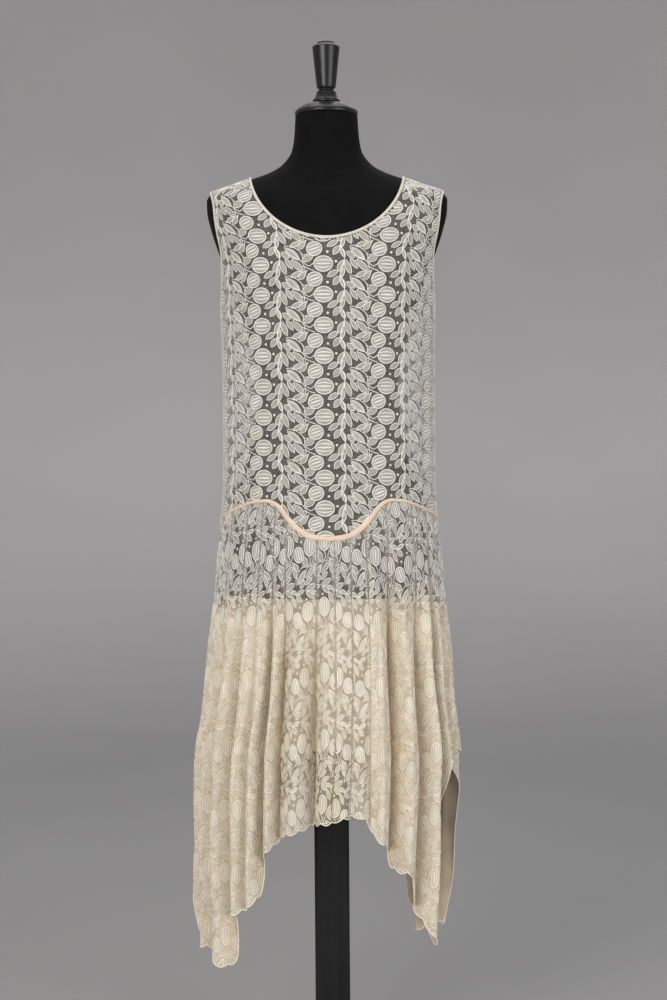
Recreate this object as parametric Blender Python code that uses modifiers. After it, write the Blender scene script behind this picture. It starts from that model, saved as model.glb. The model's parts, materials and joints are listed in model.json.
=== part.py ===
"""A sleeveless lace dress over a plain underskirt, on a limbless dress form with a turned finial, a square
post and a base plate.

Metres, +Z up. The origin is the middle of the base plate's underside, on the floor. The dress faces -Y.
An angle round the body is 0 at the centre front, 90 at the wearer's side on +X and 180 at the centre back.
"""
import math
from collections import namedtuple

import bmesh
import bpy
from mathutils import Vector

# Driving sizes
SEAM_GAP = 0.0005  # between two panels that are sewn together at the sides
HIP_GAP = 0.0010  # between the bodice and the skirt, under the piping
SEAT_GAP = 0.0003  # between hard pieces that stand on each other
WALL = 0.0010  # thickness of the cloth
SHOULDER_CLEARANCE = 0.0010  # between the cloth's inside and the form at the shoulders, which carry it
CHEST_CLEARANCE = 0.0024
CHEST_TOP = 1.395  # the clearance narrows from here up to the shoulder tip
POST_WIDTH = 0.056
POST_CHAMFER = 0.005
BASE_WIDTH = 0.40
BASE_THICKNESS = 0.028
BASE_CHAMFER = 0.004
FORM_BOTTOM = 0.784
NECK_TOP = 1.5616

# The neckline and the armholes, as heights and distances on the form
NECK_POINT = 1.460  # where the neckline crosses the shoulder seam
NECK_HALF_WIDTH = 0.122
NECK_DEPTH_FRONT = 0.104
NECK_DEPTH_BACK = 0.066
NECK_ROUNDNESS = 1.7
TOP_ROW = NECK_POINT - 0.0008
SHOULDER_TIP = 1.4400
UNDERARM = 1.255
BINDING_RADIUS = 0.0017
BINDING_GAP = 0.0006  # between a binding and the panel's edge beside it
BINDING_LIFT = 0.0014  # between a binding and the form
PIPING_THICKNESS = 0.0012
PIPING_HALF_WIDTH = 0.0020
PIPING_WIDE_HALF_WIDTH = 0.0038
PIPING_WIDE_AT = 12  # degrees from the centre
PIPING_WIDE_SPREAD = 16
PIPING_CROWN = 0.0005
PIPING_GAP = 0.0005  # between the piping and the panels under it

# The body's sections. squareness is the exponent of the section's oval: 2 is an ellipse.
Section = namedtuple("Section", "height half_width front back squareness")
FORM_SECTIONS = [
    Section(FORM_BOTTOM, 0.1590, 0.1110, 0.1110, 2.20),
    Section(0.8000, 0.1600, 0.1125, 0.1125, 2.20),
    Section(0.8400, 0.1630, 0.1170, 0.1180, 2.20),
    Section(0.8900, 0.1610, 0.1170, 0.1190, 2.20),
    Section(0.9500, 0.1500, 0.1090, 0.1130, 2.20),
    Section(1.0300, 0.1280, 0.0980, 0.0980, 2.20),
    Section(1.1200, 0.1110, 0.0900, 0.0860, 2.20),
    Section(1.1900, 0.1210, 0.0980, 0.0900, 2.20),
    Section(1.2500, 0.1420, 0.1140, 0.0960, 2.20),
    Section(1.3000, 0.1580, 0.1220, 0.1000, 2.20),
    Section(1.3400, 0.1720, 0.1170, 0.1010, 2.20),
    Section(1.3800, 0.1850, 0.1040, 0.0980, 2.20),
    Section(1.4100, 0.1915, 0.0920, 0.0910, 2.20),
    Section(1.4270, 0.1920, 0.0830, 0.0840, 2.20),
    Section(1.4335, 0.1890, 0.0790, 0.0800, 2.20),
    Section(1.4385, 0.1845, 0.0755, 0.0765, 2.20),
    Section(1.4430, 0.1720, 0.0720, 0.0730, 2.20),
    Section(1.4485, 0.1560, 0.0690, 0.0700, 2.20),
    Section(1.4540, 0.1400, 0.0660, 0.0680, 2.20),
    Section(1.4600, 0.1220, 0.0630, 0.0650, 2.20),
    Section(1.4696, 0.0950, 0.0590, 0.0610, 2.15),
    Section(1.4825, 0.0725, 0.0560, 0.0570, 2.10),
    Section(1.5050, 0.0560, 0.0530, 0.0530, 2.05),
    Section(1.5250, 0.0520, 0.0515, 0.0515, 2.00),
    Section(1.5616, 0.0494, 0.0490, 0.0490, 2.00),
]
# Below the bust the dress hangs free of the form, straight to the hip seam and then flared.
HANGING_SECTIONS = [
    Section(0.2000, 0.2070, 0.1640, 0.1620, 2.20),
    Section(0.4500, 0.2120, 0.1660, 0.1630, 2.20),
    Section(0.5500, 0.2105, 0.1650, 0.1610, 2.20),
    Section(0.5920, 0.2060, 0.1620, 0.1580, 2.20),
    Section(0.6560, 0.1980, 0.1560, 0.1520, 2.20),
    Section(0.7200, 0.1910, 0.1490, 0.1450, 2.20),
    Section(0.7840, 0.1840, 0.1420, 0.1380, 2.20),
    Section(0.8480, 0.1775, 0.1360, 0.1310, 2.20),
    Section(0.9150, 0.1710, 0.1300, 0.1240, 2.20),
    Section(0.9440, 0.1680, 0.1290, 0.1220, 2.20),
    Section(0.9860, 0.1660, 0.1280, 0.1200, 2.20),
    Section(1.1040, 0.1650, 0.1270, 0.1160, 2.20),
    Section(1.1650, 0.1655, 0.1265, 0.1140, 2.20),
    Section(1.2590, 0.1680, 0.1255, 0.1100, 2.20),
    Section(1.3000, 0.1690, 0.1240, 0.1060, 2.20),
]
FIRST_TOUCHING = 1.34  # from this height up the cloth lies on the form
CLOTH_SECTIONS = HANGING_SECTIONS + [s for s in FORM_SECTIONS if s.height >= FIRST_TOUCHING]

# The underskirt is tied round the form's lower edge and hangs inside the skirt's furrows.
UNDERSKIRT_SECTIONS = [
    Section(0.5650, 0.1660, 0.1220, 0.1220, 2.20),
    Section(0.6700, 0.1650, 0.1200, 0.1200, 2.20),
    Section(0.7600, 0.1630, 0.1160, 0.1160, 2.20),
    Section(FORM_BOTTOM, 0.1614, 0.1134, 0.1134, 2.20),
    Section(0.8000, 0.1618, 0.1143, 0.1143, 2.20),
]
UNDERSKIRT_WALL = 0.0010
UNDERSKIRT_WAVES = 13
UNDERSKIRT_WAVE_STEPS = 5  # faces across a wave
UNDERSKIRT_WAVE_DEPTH = 0.006
UNDERSKIRT_WAVE_START = 0.775  # the waves deepen from here down
UNDERSKIRT_WAVE_RUN = 0.15

# How far the lower skirt swings towards the dress's right side
Sway = namedtuple("Sway", "height offset")
SWAYS = [Sway(0.20, -0.011), Sway(0.35, -0.010), Sway(0.55, -0.005), Sway(0.75, -0.001), Sway(0.90, 0.0)]

# The armhole's edge, as the angle from the panel's centre line at each height
ArmholeEdge = namedtuple("ArmholeEdge", "height angle")
ARMHOLE = [
    ArmholeEdge(1.2550, 90.0),
    ArmholeEdge(1.2590, 83.5),
    ArmholeEdge(1.2680, 79.5),
    ArmholeEdge(1.2900, 75.5),
    ArmholeEdge(1.3200, 73.0),
    ArmholeEdge(1.3500, 70.5),
    ArmholeEdge(1.3800, 66.5),
    ArmholeEdge(1.4100, 64.5),
    ArmholeEdge(1.4250, 66.0),
    ArmholeEdge(1.4340, 71.0),
    ArmholeEdge(1.4375, 77.0),
    ArmholeEdge(1.4400, 90.0),
]
FRONT_SCOOP = 1.0  # the share of the table's scoop that each panel's armhole has
BACK_SCOOP = 0.75

# The wavy hip seam: it dips at the centre and rises over each hip.
SeamHeight = namedtuple("SeamHeight", "angle height")
HIP_SEAM = [
    SeamHeight(0, 0.895),
    SeamHeight(8, 0.899),
    SeamHeight(14, 0.910),
    SeamHeight(20, 0.928),
    SeamHeight(26, 0.947),
    SeamHeight(32, 0.9535),
    SeamHeight(40, 0.952),
    SeamHeight(50, 0.945),
    SeamHeight(60, 0.937),
    SeamHeight(75, 0.926),
    SeamHeight(90, 0.915),
]

# The skirt's furrows between its flutes: where each lies, how deep it gets and where it starts
Furrow = namedtuple("Furrow", "angle depth start")
FRONT_FURROWS = [
    Furrow(-90, 0.024, 0.88),
    Furrow(-75, 0.018, 0.78),
    Furrow(-61, 0.020, 0.82),
    Furrow(-46, 0.029, 0.84),
    Furrow(-35, 0.016, 0.78),
    Furrow(-27, 0.028, 0.88),
    Furrow(-20, 0.030, 0.86),
    Furrow(-5, 0.030, 0.84),
    Furrow(2, 0.009, 0.66),
    Furrow(9, 0.011, 0.66),
    Furrow(17, 0.013, 0.70),
    Furrow(29, 0.032, 0.92),
    Furrow(47, 0.032, 0.88),
    Furrow(60, 0.028, 0.90),
    Furrow(69, 0.018, 0.88),
    Furrow(79, 0.018, 0.86),
    Furrow(90, 0.022, 0.88),
]
BACK_FURROWS = [
    Furrow(90, 0.022, 0.88),
    Furrow(104, 0.018, 0.84),
    Furrow(117, 0.017, 0.88),
    Furrow(129, 0.027, 0.90),
    Furrow(138, 0.018, 0.82),
    Furrow(150, 0.030, 0.90),
    Furrow(162, 0.022, 0.80),
    Furrow(174, 0.012, 0.72),
    Furrow(184, 0.014, 0.70),
    Furrow(196, 0.024, 0.82),
    Furrow(208, 0.030, 0.90),
    Furrow(221, 0.020, 0.84),
    Furrow(232, 0.030, 0.90),
    Furrow(245, 0.026, 0.86),
    Furrow(257, 0.018, 0.80),
    Furrow(270, 0.024, 0.88),
]
FURROW_RUN = 0.24  # height over which a furrow reaches its depth
FURROW_ROUNDNESS = 1.9
FLUTE_SHARES = [0.0, 0.13, 0.31, 0.5, 0.69, 0.87]  # a flute's columns, from the furrow on its left

# Fine gathers under the two high stretches of the hip seam
GATHER_DEPTH = 0.0012
GATHER_FALL = 0.045
GATHERS_PER_FLUTE = 2
GATHERS_FROM = 22  # angle from the centre at which the gathers start
GATHERS_BUILD = 10  # angle over which they reach their depth

# The hem's four points and the high stretches between them
HemHeight = namedtuple("HemHeight", "angle height")
HEM = [
    HemHeight(-90, 0.380),
    HemHeight(-84, 0.355),
    HemHeight(-80, 0.266),
    HemHeight(-75, 0.252),
    HemHeight(-62, 0.246),
    HemHeight(-51, 0.226),
    HemHeight(-47, 0.238),
    HemHeight(-44, 0.310),
    HemHeight(-35, 0.324),
    HemHeight(-29, 0.345),
    HemHeight(-25, 0.412),
    HemHeight(-19, 0.436),
    HemHeight(-8, 0.456),
    HemHeight(0, 0.464),
    HemHeight(12, 0.474),
    HemHeight(20, 0.440),
    HemHeight(28, 0.412),
    HemHeight(31, 0.386),
    HemHeight(38, 0.376),
    HemHeight(41, 0.332),
    HemHeight(46, 0.318),
    HemHeight(50, 0.298),
    HemHeight(56, 0.256),
    HemHeight(59.5, 0.272),
    HemHeight(62, 0.480),
    HemHeight(65, 0.545),
    HemHeight(75, 0.550),
    HemHeight(90, 0.549),
    HemHeight(93, 0.515),
    HemHeight(96, 0.490),
    HemHeight(99, 0.310),
    HemHeight(102, 0.254),
    HemHeight(118, 0.240),
    HemHeight(130, 0.224),
    HemHeight(142, 0.310),
    HemHeight(156, 0.420),
    HemHeight(170, 0.458),
    HemHeight(184, 0.464),
    HemHeight(200, 0.436),
    HemHeight(215, 0.340),
    HemHeight(230, 0.236),
    HemHeight(243, 0.262),
    HemHeight(256, 0.330),
    HemHeight(270, 0.380),
]
HEM_STEP = 0.35  # how far the hem's rise is drawn into the furrows
SCALLOP_DEPTH = 0.005
SCALLOPS_PER_FLUTE = 2

BODICE_STEPS = 12  # faces from a panel's centre line to its side
BODICE_LEVELS = [0.0, 0.25, 0.5, 0.75, 1.0]  # shares of the way from the hip seam to the underarm
CHEST_HEIGHTS = [1.2590, 1.2680, 1.2900, 1.3200, 1.3450]
NECKLINE_ROWS = 6  # rows from the lowest point of the neckline to the shoulder's bend, closest at the bottom
SHOULDER_HEIGHTS = [1.4100, 1.4270, 1.4340, 1.4375, SHOULDER_TIP, 1.4430, 1.4485, 1.4540]
SKIRT_LEVELS = [0.0, 0.05, 0.13, 0.25, 0.40, 0.58, 0.79, 1.0]
FORM_STEPS = 40
FORM_HEIGHTS_APART = 0.05

# The turned pieces' outlines, from the axis at the top, down the outside
Turn = namedtuple("Turn", "radius height")
FINIAL = [
    Turn(0.0000, 1.6784),
    Turn(0.0125, 1.6782),
    Turn(0.0142, 1.6772),
    Turn(0.0152, 1.6745),
    Turn(0.0196, 1.6722),
    Turn(0.0218, 1.6705),
    Turn(0.0219, 1.6690),
    Turn(0.0153, 1.6071),
    Turn(0.0148, 1.6055),
    Turn(0.0124, 1.6045),
    Turn(0.0118, 1.6030),
    Turn(0.0130, 1.6015),
    Turn(0.0153, 1.5995),
    Turn(0.0158, 1.5972),
    Turn(0.0168, 1.5935),
    Turn(0.0192, 1.5890),
    Turn(0.0218, 1.5864),
    Turn(0.0222, 1.5845),
    Turn(0.0220, 1.5818),
    Turn(0.0000, 1.5818),
]
NECK_CAP = [
    Turn(0.0000, 1.5815),
    Turn(0.0225, 1.5815),
    Turn(0.0300, 1.5803),
    Turn(0.0370, 1.5780),
    Turn(0.0440, 1.5738),
    Turn(0.0488, 1.5698),
    Turn(0.0503, 1.5676),
    Turn(0.0506, 1.5655),
    Turn(0.0500, 1.5632),
    Turn(0.0490, 1.5619),
    Turn(0.0000, 1.5619),
]
TURN_STEPS = 22

COLOURS = {
    "lace": (0.80, 0.75, 0.63),
    "binding": (0.82, 0.78, 0.66),
    "piping": (0.86, 0.62, 0.48),
    "underskirt": (0.78, 0.66, 0.52),
    "form_cloth": (0.012, 0.012, 0.013),
    "black_wood": (0.010, 0.010, 0.011),
}


def clear_scene():
    for obj in list(bpy.data.objects):
        bpy.data.objects.remove(obj)


def slopes_of(xs, ys):
    """Slopes at the knots of a curve that never overshoots its knots."""
    secants = [(y1 - y0) / (x1 - x0) for x0, x1, y0, y1 in zip(xs, xs[1:], ys, ys[1:])]
    slopes = [secants[0]]
    for before, after in zip(secants, secants[1:]):
        rising = before * after > 0
        slopes.append(2 * before * after / (before + after) if rising else 0.0)
    return slopes + [secants[-1]]


def read(table, key, column, at):
    """The value of a column of a table at a value of its key, read from a smooth curve through the rows."""
    xs = [getattr(row, key) for row in table]
    ys = [getattr(row, column) for row in table]
    if at <= xs[0]:
        return ys[0]
    if at >= xs[-1]:
        return ys[-1]
    i = max(k for k in range(len(xs) - 1) if xs[k] <= at)
    slopes = slopes_of(xs, ys)
    width = xs[i + 1] - xs[i]
    t = (at - xs[i]) / width
    return (
        (1 + 2 * t) * (1 - t) ** 2 * ys[i]
        + t * (1 - t) ** 2 * width * slopes[i]
        + t * t * (3 - 2 * t) * ys[i + 1]
        + t * t * (t - 1) * width * slopes[i + 1]
    )


def section_at(sections, height):
    return Section(height, *(read(sections, "height", name, height) for name in Section._fields[1:]))


def oval_point(section, angle):
    """A point of a section, by its angle in degrees from the centre front."""
    a = math.radians(angle)
    power = 2 / section.squareness
    depth = section.front if math.cos(a) > 0 else section.back
    x = section.half_width * math.copysign(abs(math.sin(a)) ** power, math.sin(a))
    y = -depth * math.copysign(abs(math.cos(a)) ** power, math.cos(a))
    return Vector((x, y, section.height))


def smooth_step(t):
    t = min(1.0, max(0.0, t))
    return t * t * (3 - 2 * t)


def sway_at(height):
    return Vector((read(SWAYS, "height", "offset", height), 0, 0))


def cloth_base(angle, height):
    return oval_point(section_at(CLOTH_SECTIONS, height), angle) + sway_at(height)


def outward(angle, height):
    """The direction away from the body at a point of the cloth."""
    across = cloth_base(angle + 1, height) - cloth_base(angle - 1, height)
    up = cloth_base(angle, height + 0.0015) - cloth_base(angle, height - 0.0015)
    return across.cross(up).normalized()


def clearance(height):
    share = smooth_step((height - CHEST_TOP) / (SHOULDER_TIP - CHEST_TOP))
    return CHEST_CLEARANCE + (SHOULDER_CLEARANCE - CHEST_CLEARANCE) * share


def cloth_point(angle, height, lift=0.0):
    """A point of the dress's outer face, or lifted off it."""
    return cloth_base(angle, height) + outward(angle, height) * (clearance(height) + WALL + lift)


def angle_of_x(x, height):
    """The angle at which the cloth's section reaches a distance from the middle."""
    section = section_at(CLOTH_SECTIONS, height)
    share = min(1.0, abs(x) / section.half_width)
    return math.degrees(math.asin(share ** (section.squareness / 2)))


def material(name):
    found = bpy.data.materials.get(name)
    if found:
        return found
    made = bpy.data.materials.new(name)
    made.use_nodes = True
    shader = made.node_tree.nodes["Principled BSDF"]
    shader.inputs["Base Color"].default_value = (*COLOURS[name], 1)
    shader.inputs["Roughness"].default_value = 0.35 if name == "black_wood" else 0.8
    shader.inputs["Metallic"].default_value = 0.0
    return made


def add_object(name, data, colour, collection):
    obj = bpy.data.objects.new(name, data)
    obj.data.materials.append(material(colour))
    collection.objects.link(obj)
    return obj


def mesh_of(name, build):
    """A new mesh filled by build(bm)."""
    mesh = bpy.data.meshes.new(name)
    bm = bmesh.new()
    build(bm)
    bm.to_mesh(mesh)
    bm.free()
    mesh.shade_smooth()
    return mesh


def face_rows(bm, lower, upper):
    """Faces between two rows of points, from left to right."""
    for k in range(len(lower) - 1):
        bm.faces.new((lower[k], lower[k + 1], upper[k + 1], upper[k]))


def cloth_sheet(name, build, thickness, colour, collection):
    """An open sheet filled by build(bm), facing away from the body, with its thickness on the inside."""
    def build_facing_out(bm):
        build(bm)
        bmesh.ops.recalc_face_normals(bm, faces=bm.faces)
        bm.faces.ensure_lookup_table()
        middle = bm.faces[len(bm.faces) // 2]
        centre = middle.calc_center_median()
        if middle.normal.dot(Vector((centre.x, centre.y, 0))) < 0:
            bmesh.ops.reverse_faces(bm, faces=bm.faces)
        bmesh.ops.triangulate(bm, faces=bm.faces, quad_method="SHORT_EDGE")

    obj = add_object(name, mesh_of(name, build_facing_out), colour, collection)
    wall = obj.modifiers.new("wall", "SOLIDIFY")
    wall.thickness = thickness
    wall.offset = -1
    return obj


def from_centre(angle):
    """How many degrees an angle lies from the nearer of the centre front and the centre back."""
    folded = abs((angle + 180) % 360 - 180)
    return min(folded, 180 - folded)


def seam_height(angle):
    """The hip seam's height, the same at front and back and on both sides."""
    return read(HIP_SEAM, "angle", "height", from_centre(angle))


def neck_half_width(height, depth):
    """Half the neckline's width at a height."""
    share = min(1.0, max(0.0, (NECK_POINT - height) / depth))
    return NECK_HALF_WIDTH * math.sqrt(1 - share**NECK_ROUNDNESS)


def neckline_angle(height, depth):
    """The angle of the neckline from a panel's centre line, 0 below it."""
    return angle_of_x(neck_half_width(height, depth), height) if height > NECK_POINT - depth else 0.0


def armhole_angle(height, scoop):
    if height <= UNDERARM or height >= SHOULDER_TIP:
        return 90.0
    return 90.0 - (90.0 - read(ARMHOLE, "height", "angle", height)) * scoop


def side_limit(height):
    """The angle of a panel's side edge, which lies half the seam gap short of the side line."""
    depth = section_at(CLOTH_SECTIONS, height).front
    return 90.0 - math.degrees(SEAM_GAP / 2 / depth)


def strap_heights(neck_bottom):
    """The heights of a panel's rows above the lowest point of its neckline."""
    rise = SHOULDER_HEIGHTS[0] - neck_bottom
    turns = [math.pi / 2 * k / NECKLINE_ROWS for k in range(1, NECKLINE_ROWS)]
    rows = [neck_bottom + rise * (1 - math.cos(turn)) for turn in turns]
    return rows + SHOULDER_HEIGHTS + [TOP_ROW]


def chest_heights(neck_bottom):
    """The heights of a panel's rows from just above the underarm to the lowest point of its neckline."""
    return [h for h in CHEST_HEIGHTS if h < neck_bottom - 0.008] + [neck_bottom]


def seam_columns(centre):
    """The angles of a panel's columns where it meets the hip seam."""
    edge = side_limit(seam_height(90))
    return [centre + edge * k / BODICE_STEPS for k in range(-BODICE_STEPS, BODICE_STEPS + 1)]


def bodice_panel(name, centre, neck_depth, scoop, collection):
    """Half of the bodice as one sheet: below the neckline it is whole, above it are two straps."""
    neck_bottom = NECK_POINT - neck_depth

    def half_row(height_of, side):
        """Points from the inner edge to the outer edge on one side."""
        points = []
        for k in range(BODICE_STEPS + 1):
            share = k / BODICE_STEPS
            height = height_of(share * 90)
            low = neckline_angle(height, neck_depth)
            high = min(armhole_angle(height, scoop), side_limit(height))
            points.append(cloth_point(centre + side * (low + (high - low) * share), height))
        return points

    def build(bm):
        seam_row = [cloth_point(angle, seam_height(angle) + HIP_GAP / 2) for angle in seam_columns(centre)]
        rows = [[bm.verts.new(p) for p in seam_row]]
        rising = [lambda angle, t=t: (1 - t) * seam_height(angle) + t * UNDERARM for t in BODICE_LEVELS[1:]]
        level = [lambda angle, h=h: h for h in chest_heights(neck_bottom)]
        for height_of in rising + level:
            points = half_row(height_of, -1)[:0:-1] + half_row(height_of, 1)
            rows.append([bm.verts.new(p) for p in points])
        for lower, upper in zip(rows, rows[1:]):
            face_rows(bm, lower, upper)
        for side in (-1, 1):
            last = rows[-1][BODICE_STEPS::side]
            for height in strap_heights(neck_bottom):
                row = [bm.verts.new(p) for p in half_row(lambda angle, h=height: h, side)]
                face_rows(bm, last, row)
                last = row

    return cloth_sheet(name, build, WALL, "lace", collection)


def furrow_depth(furrow, height):
    return furrow.depth * smooth_step((furrow.start - height) / FURROW_RUN)


def gathered(angle):
    """How strongly the seam is gathered at an angle: fully over the hips, not at the centres or the sides."""
    folded = from_centre(angle)
    return smooth_step((folded - GATHERS_FROM) / GATHERS_BUILD) * smooth_step((90 - folded) / GATHERS_BUILD)


def skirt_point(left, right, share, height):
    """A point of the skirt's outer face between two furrows."""
    near = left if share < 0.5 else right
    angle = left.angle + (right.angle - left.angle) * share
    crest = abs(math.sin(math.pi * share)) ** FURROW_ROUNDNESS
    sunk = furrow_depth(near, height) * (1 - crest)
    below_seam = seam_height(angle) - height
    gather = GATHER_DEPTH * gathered(angle) * math.exp(-below_seam / GATHER_FALL)
    sunk += gather * (1 - math.cos(2 * math.pi * GATHERS_PER_FLUTE * share)) / 2
    return cloth_point(angle, height, -sunk)


def hem_height(left, right, share):
    """The hem's height: nearly level round a flute's crest, stepping at the furrows, with small scallops."""
    level = share + HEM_STEP * math.sin(2 * math.pi * share) / (2 * math.pi)
    angle = left.angle + (right.angle - left.angle) * level
    scallop = abs(math.sin(math.pi * SCALLOPS_PER_FLUTE * share))
    return read(HEM, "angle", "height", angle) - SCALLOP_DEPTH * scallop


def along_seam(angle, columns):
    """A point of the straight line between the bodice's columns that an angle lies between."""
    after = next((k for k, column in enumerate(columns) if column >= angle), len(columns) - 1)
    after = max(1, after)
    low, high = columns[after - 1], columns[after]
    share = (angle - low) / (high - low)
    ends = [cloth_point(a, seam_height(a)) for a in (low, high)]
    return ends[0].lerp(ends[1], share) - Vector((0, 0, HIP_GAP / 2))


def skirt_panel(name, centre, furrows, collection):
    """Half of the skirt, from the hip seam to the hem, in flutes between furrows."""
    shift = math.degrees(SEAM_GAP / 2 / section_at(CLOTH_SECTIONS, FORM_BOTTOM).front)
    first = furrows[0]._replace(angle=furrows[0].angle + shift)
    last = furrows[-1]._replace(angle=furrows[-1].angle - shift)
    edges = [first] + furrows[1:-1] + [last]
    columns = []
    for left, right in zip(edges, edges[1:]):
        columns += [(left, right, share) for share in FLUTE_SHARES]
    columns.append((edges[-2], last, 1.0))

    def build(bm):
        bodice_columns = seam_columns(centre)
        rows = [[]]
        for left, right, share in columns:
            angle = left.angle + (right.angle - left.angle) * share
            angle = min(max(angle, bodice_columns[0]), bodice_columns[-1])
            rows[0].append(bm.verts.new(along_seam(angle, bodice_columns)))
        for level in SKIRT_LEVELS[1:]:
            row = []
            for left, right, share in columns:
                angle = left.angle + (right.angle - left.angle) * share
                height = (1 - level) * seam_height(angle) + level * hem_height(left, right, share)
                row.append(bm.verts.new(skirt_point(left, right, share, height)))
            rows.append(row)
        for upper, lower in zip(rows, rows[1:]):
            face_rows(bm, lower, upper)

    return cloth_sheet(name, build, WALL, "lace", collection)


def underskirt(collection):
    """The plain tube of cloth under the skirt, in soft waves."""
    count = UNDERSKIRT_WAVES * UNDERSKIRT_WAVE_STEPS

    def ring(section):
        deepened = smooth_step((UNDERSKIRT_WAVE_START - section.height) / UNDERSKIRT_WAVE_RUN)
        points = []
        for k in range(count):
            point = oval_point(section, 360 * k / count)
            inward = -Vector((point.x, point.y, 0)).normalized()
            wave = (1 - math.cos(2 * math.pi * k / UNDERSKIRT_WAVE_STEPS)) / 2
            points.append(point + inward * UNDERSKIRT_WAVE_DEPTH * deepened * wave)
        return points

    def build(bm):
        rings = [[bm.verts.new(p) for p in ring(section)] for section in UNDERSKIRT_SECTIONS]
        for lower, upper in zip(rings, rings[1:]):
            face_rows(bm, lower + lower[:1], upper + upper[:1])

    return cloth_sheet("underskirt", build, UNDERSKIRT_WALL, "underskirt", collection)


def form_body(collection):
    """The torso from its flat underside to the top of its neck, as a loft through its sections."""
    heights = [s.height for s in FORM_SECTIONS]
    levels = []
    for low, high in zip(heights, heights[1:]):
        count = max(1, round((high - low) / FORM_HEIGHTS_APART))
        levels += [low + (high - low) * k / count for k in range(count)]
    levels.append(heights[-1])

    def build(bm):
        rings = []
        for height in levels:
            section = section_at(FORM_SECTIONS, height)
            rings.append([bm.verts.new(oval_point(section, 360 * k / FORM_STEPS)) for k in range(FORM_STEPS)])
        for lower, upper in zip(rings, rings[1:]):
            face_rows(bm, lower + lower[:1], upper + upper[:1])
        bm.faces.new(rings[0][::-1])
        bm.faces.new(rings[-1])

    obj = add_object("form_body", mesh_of("form_body", build), "form_cloth", collection)
    obj.data.set_sharp_from_angle(angle=math.radians(50))
    return obj


def turned_piece(name, outline, colour, collection):
    """A piece turned on a lathe."""
    mesh = bpy.data.meshes.new(name)
    points = [(turn.radius, 0, turn.height) for turn in outline]
    mesh.from_pydata(points, [(k, k + 1) for k in range(len(points) - 1)], [])
    obj = add_object(name, mesh, colour, collection)
    screw = obj.modifiers.new("lathe", "SCREW")
    screw.steps = TURN_STEPS
    screw.render_steps = TURN_STEPS
    screw.use_merge_vertices = True
    screw.merge_threshold = 0.00005
    return obj


def square_block(name, width, low, high, chamfer, colour, collection):
    """An upright square block whose edges are taken off."""
    def build(bm):
        bmesh.ops.create_cube(bm, size=1)
        bmesh.ops.scale(bm, vec=(width, width, high - low), verts=bm.verts)
        bmesh.ops.translate(bm, vec=(0, 0, (low + high) / 2), verts=bm.verts)

    mesh = mesh_of(name, build)
    mesh.shade_flat()
    obj = add_object(name, mesh, colour, collection)
    bevel = obj.modifiers.new("chamfer", "BEVEL")
    bevel.width = chamfer
    bevel.segments = 1
    return obj


def tube_along(name, points, radius, colour, collection):
    """A closed round cord through the given points."""
    curve = bpy.data.curves.new(name, "CURVE")
    curve.dimensions = "3D"
    curve.bevel_depth = radius
    curve.bevel_resolution = 1
    spline = curve.splines.new("POLY")
    spline.points.add(len(points) - 1)
    for point, place in zip(spline.points, points):
        point.co = (*place, 1)
    spline.use_cyclic_u = True
    return add_object(name, curve, colour, collection)


def angle_at(point):
    """The angle round the body of a point that lies on its surface or a little off it."""
    angle = angle_of_x(point.x, point.z)
    angle = 180 - angle if point.y > 0 else angle
    return math.copysign(angle, point.x)


def binding_points(edge, towards):
    """Centre-line points of a cord beside a closed edge of (angle, height) pairs, on its open side."""
    on_cloth = [cloth_base(angle, height) for angle, height in edge]
    points = []
    for k, (angle, height) in enumerate(edge):
        along = on_cloth[(k + 1) % len(edge)] - on_cloth[k - 1]
        away = along.cross(outward(angle, height)).normalized()
        if away.dot(towards - on_cloth[k]) < 0:
            away = -away
        beside = on_cloth[k] + away * (BINDING_RADIUS + BINDING_GAP)
        place = angle_at(beside)
        lift = outward(place, beside.z) * (BINDING_RADIUS + BINDING_LIFT)
        points.append(cloth_base(place, beside.z) + lift)
    return points


def neck_binding(collection):
    """The cord round the neckline, beside the points of both panels' edges."""
    edge = []
    for centre, depth in ((0, NECK_DEPTH_FRONT), (180, NECK_DEPTH_BACK)):
        heights = strap_heights(NECK_POINT - depth)
        half = [(neckline_angle(height, depth), height) for height in heights]
        edge += [(centre - angle, height) for angle, height in half[::-1]]
        edge.append((centre, NECK_POINT - depth))
        edge += [(centre + angle, height) for angle, height in half]
    points = binding_points(edge, Vector((0, 0, NECK_TOP)))
    return tube_along("neck_binding", points, BINDING_RADIUS, "binding", collection)


def armhole_heights(neck_depth):
    """The heights of a panel's rows that end on the armhole."""
    neck_bottom = NECK_POINT - neck_depth
    return [h for h in chest_heights(neck_bottom) + strap_heights(neck_bottom) if h < SHOULDER_TIP]


def armhole_binding(name, side, collection):
    """The cord round one armhole, up the front panel's edge and down the back panel's."""
    front, back = armhole_heights(NECK_DEPTH_FRONT), armhole_heights(NECK_DEPTH_BACK)
    edge = [(90 * side, UNDERARM)]
    edge += [(side * armhole_angle(height, FRONT_SCOOP), height) for height in front]
    edge.append((90 * side, SHOULDER_TIP))
    edge += [(side * (180 - armhole_angle(height, BACK_SCOOP)), height) for height in back[::-1]]
    middle = cloth_base(90 * side, (UNDERARM + SHOULDER_TIP) / 2)
    points = binding_points(edge, middle)
    return tube_along(name, points, BINDING_RADIUS, "binding", collection)


def piping_half_width(angle):
    """Half the piping's width, which is greatest on the steep stretches beside the centre dip."""
    bulge = math.exp(-(((from_centre(angle) - PIPING_WIDE_AT) / PIPING_WIDE_SPREAD) ** 2))
    return PIPING_HALF_WIDTH + (PIPING_WIDE_HALF_WIDTH - PIPING_HALF_WIDTH) * bulge


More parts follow.
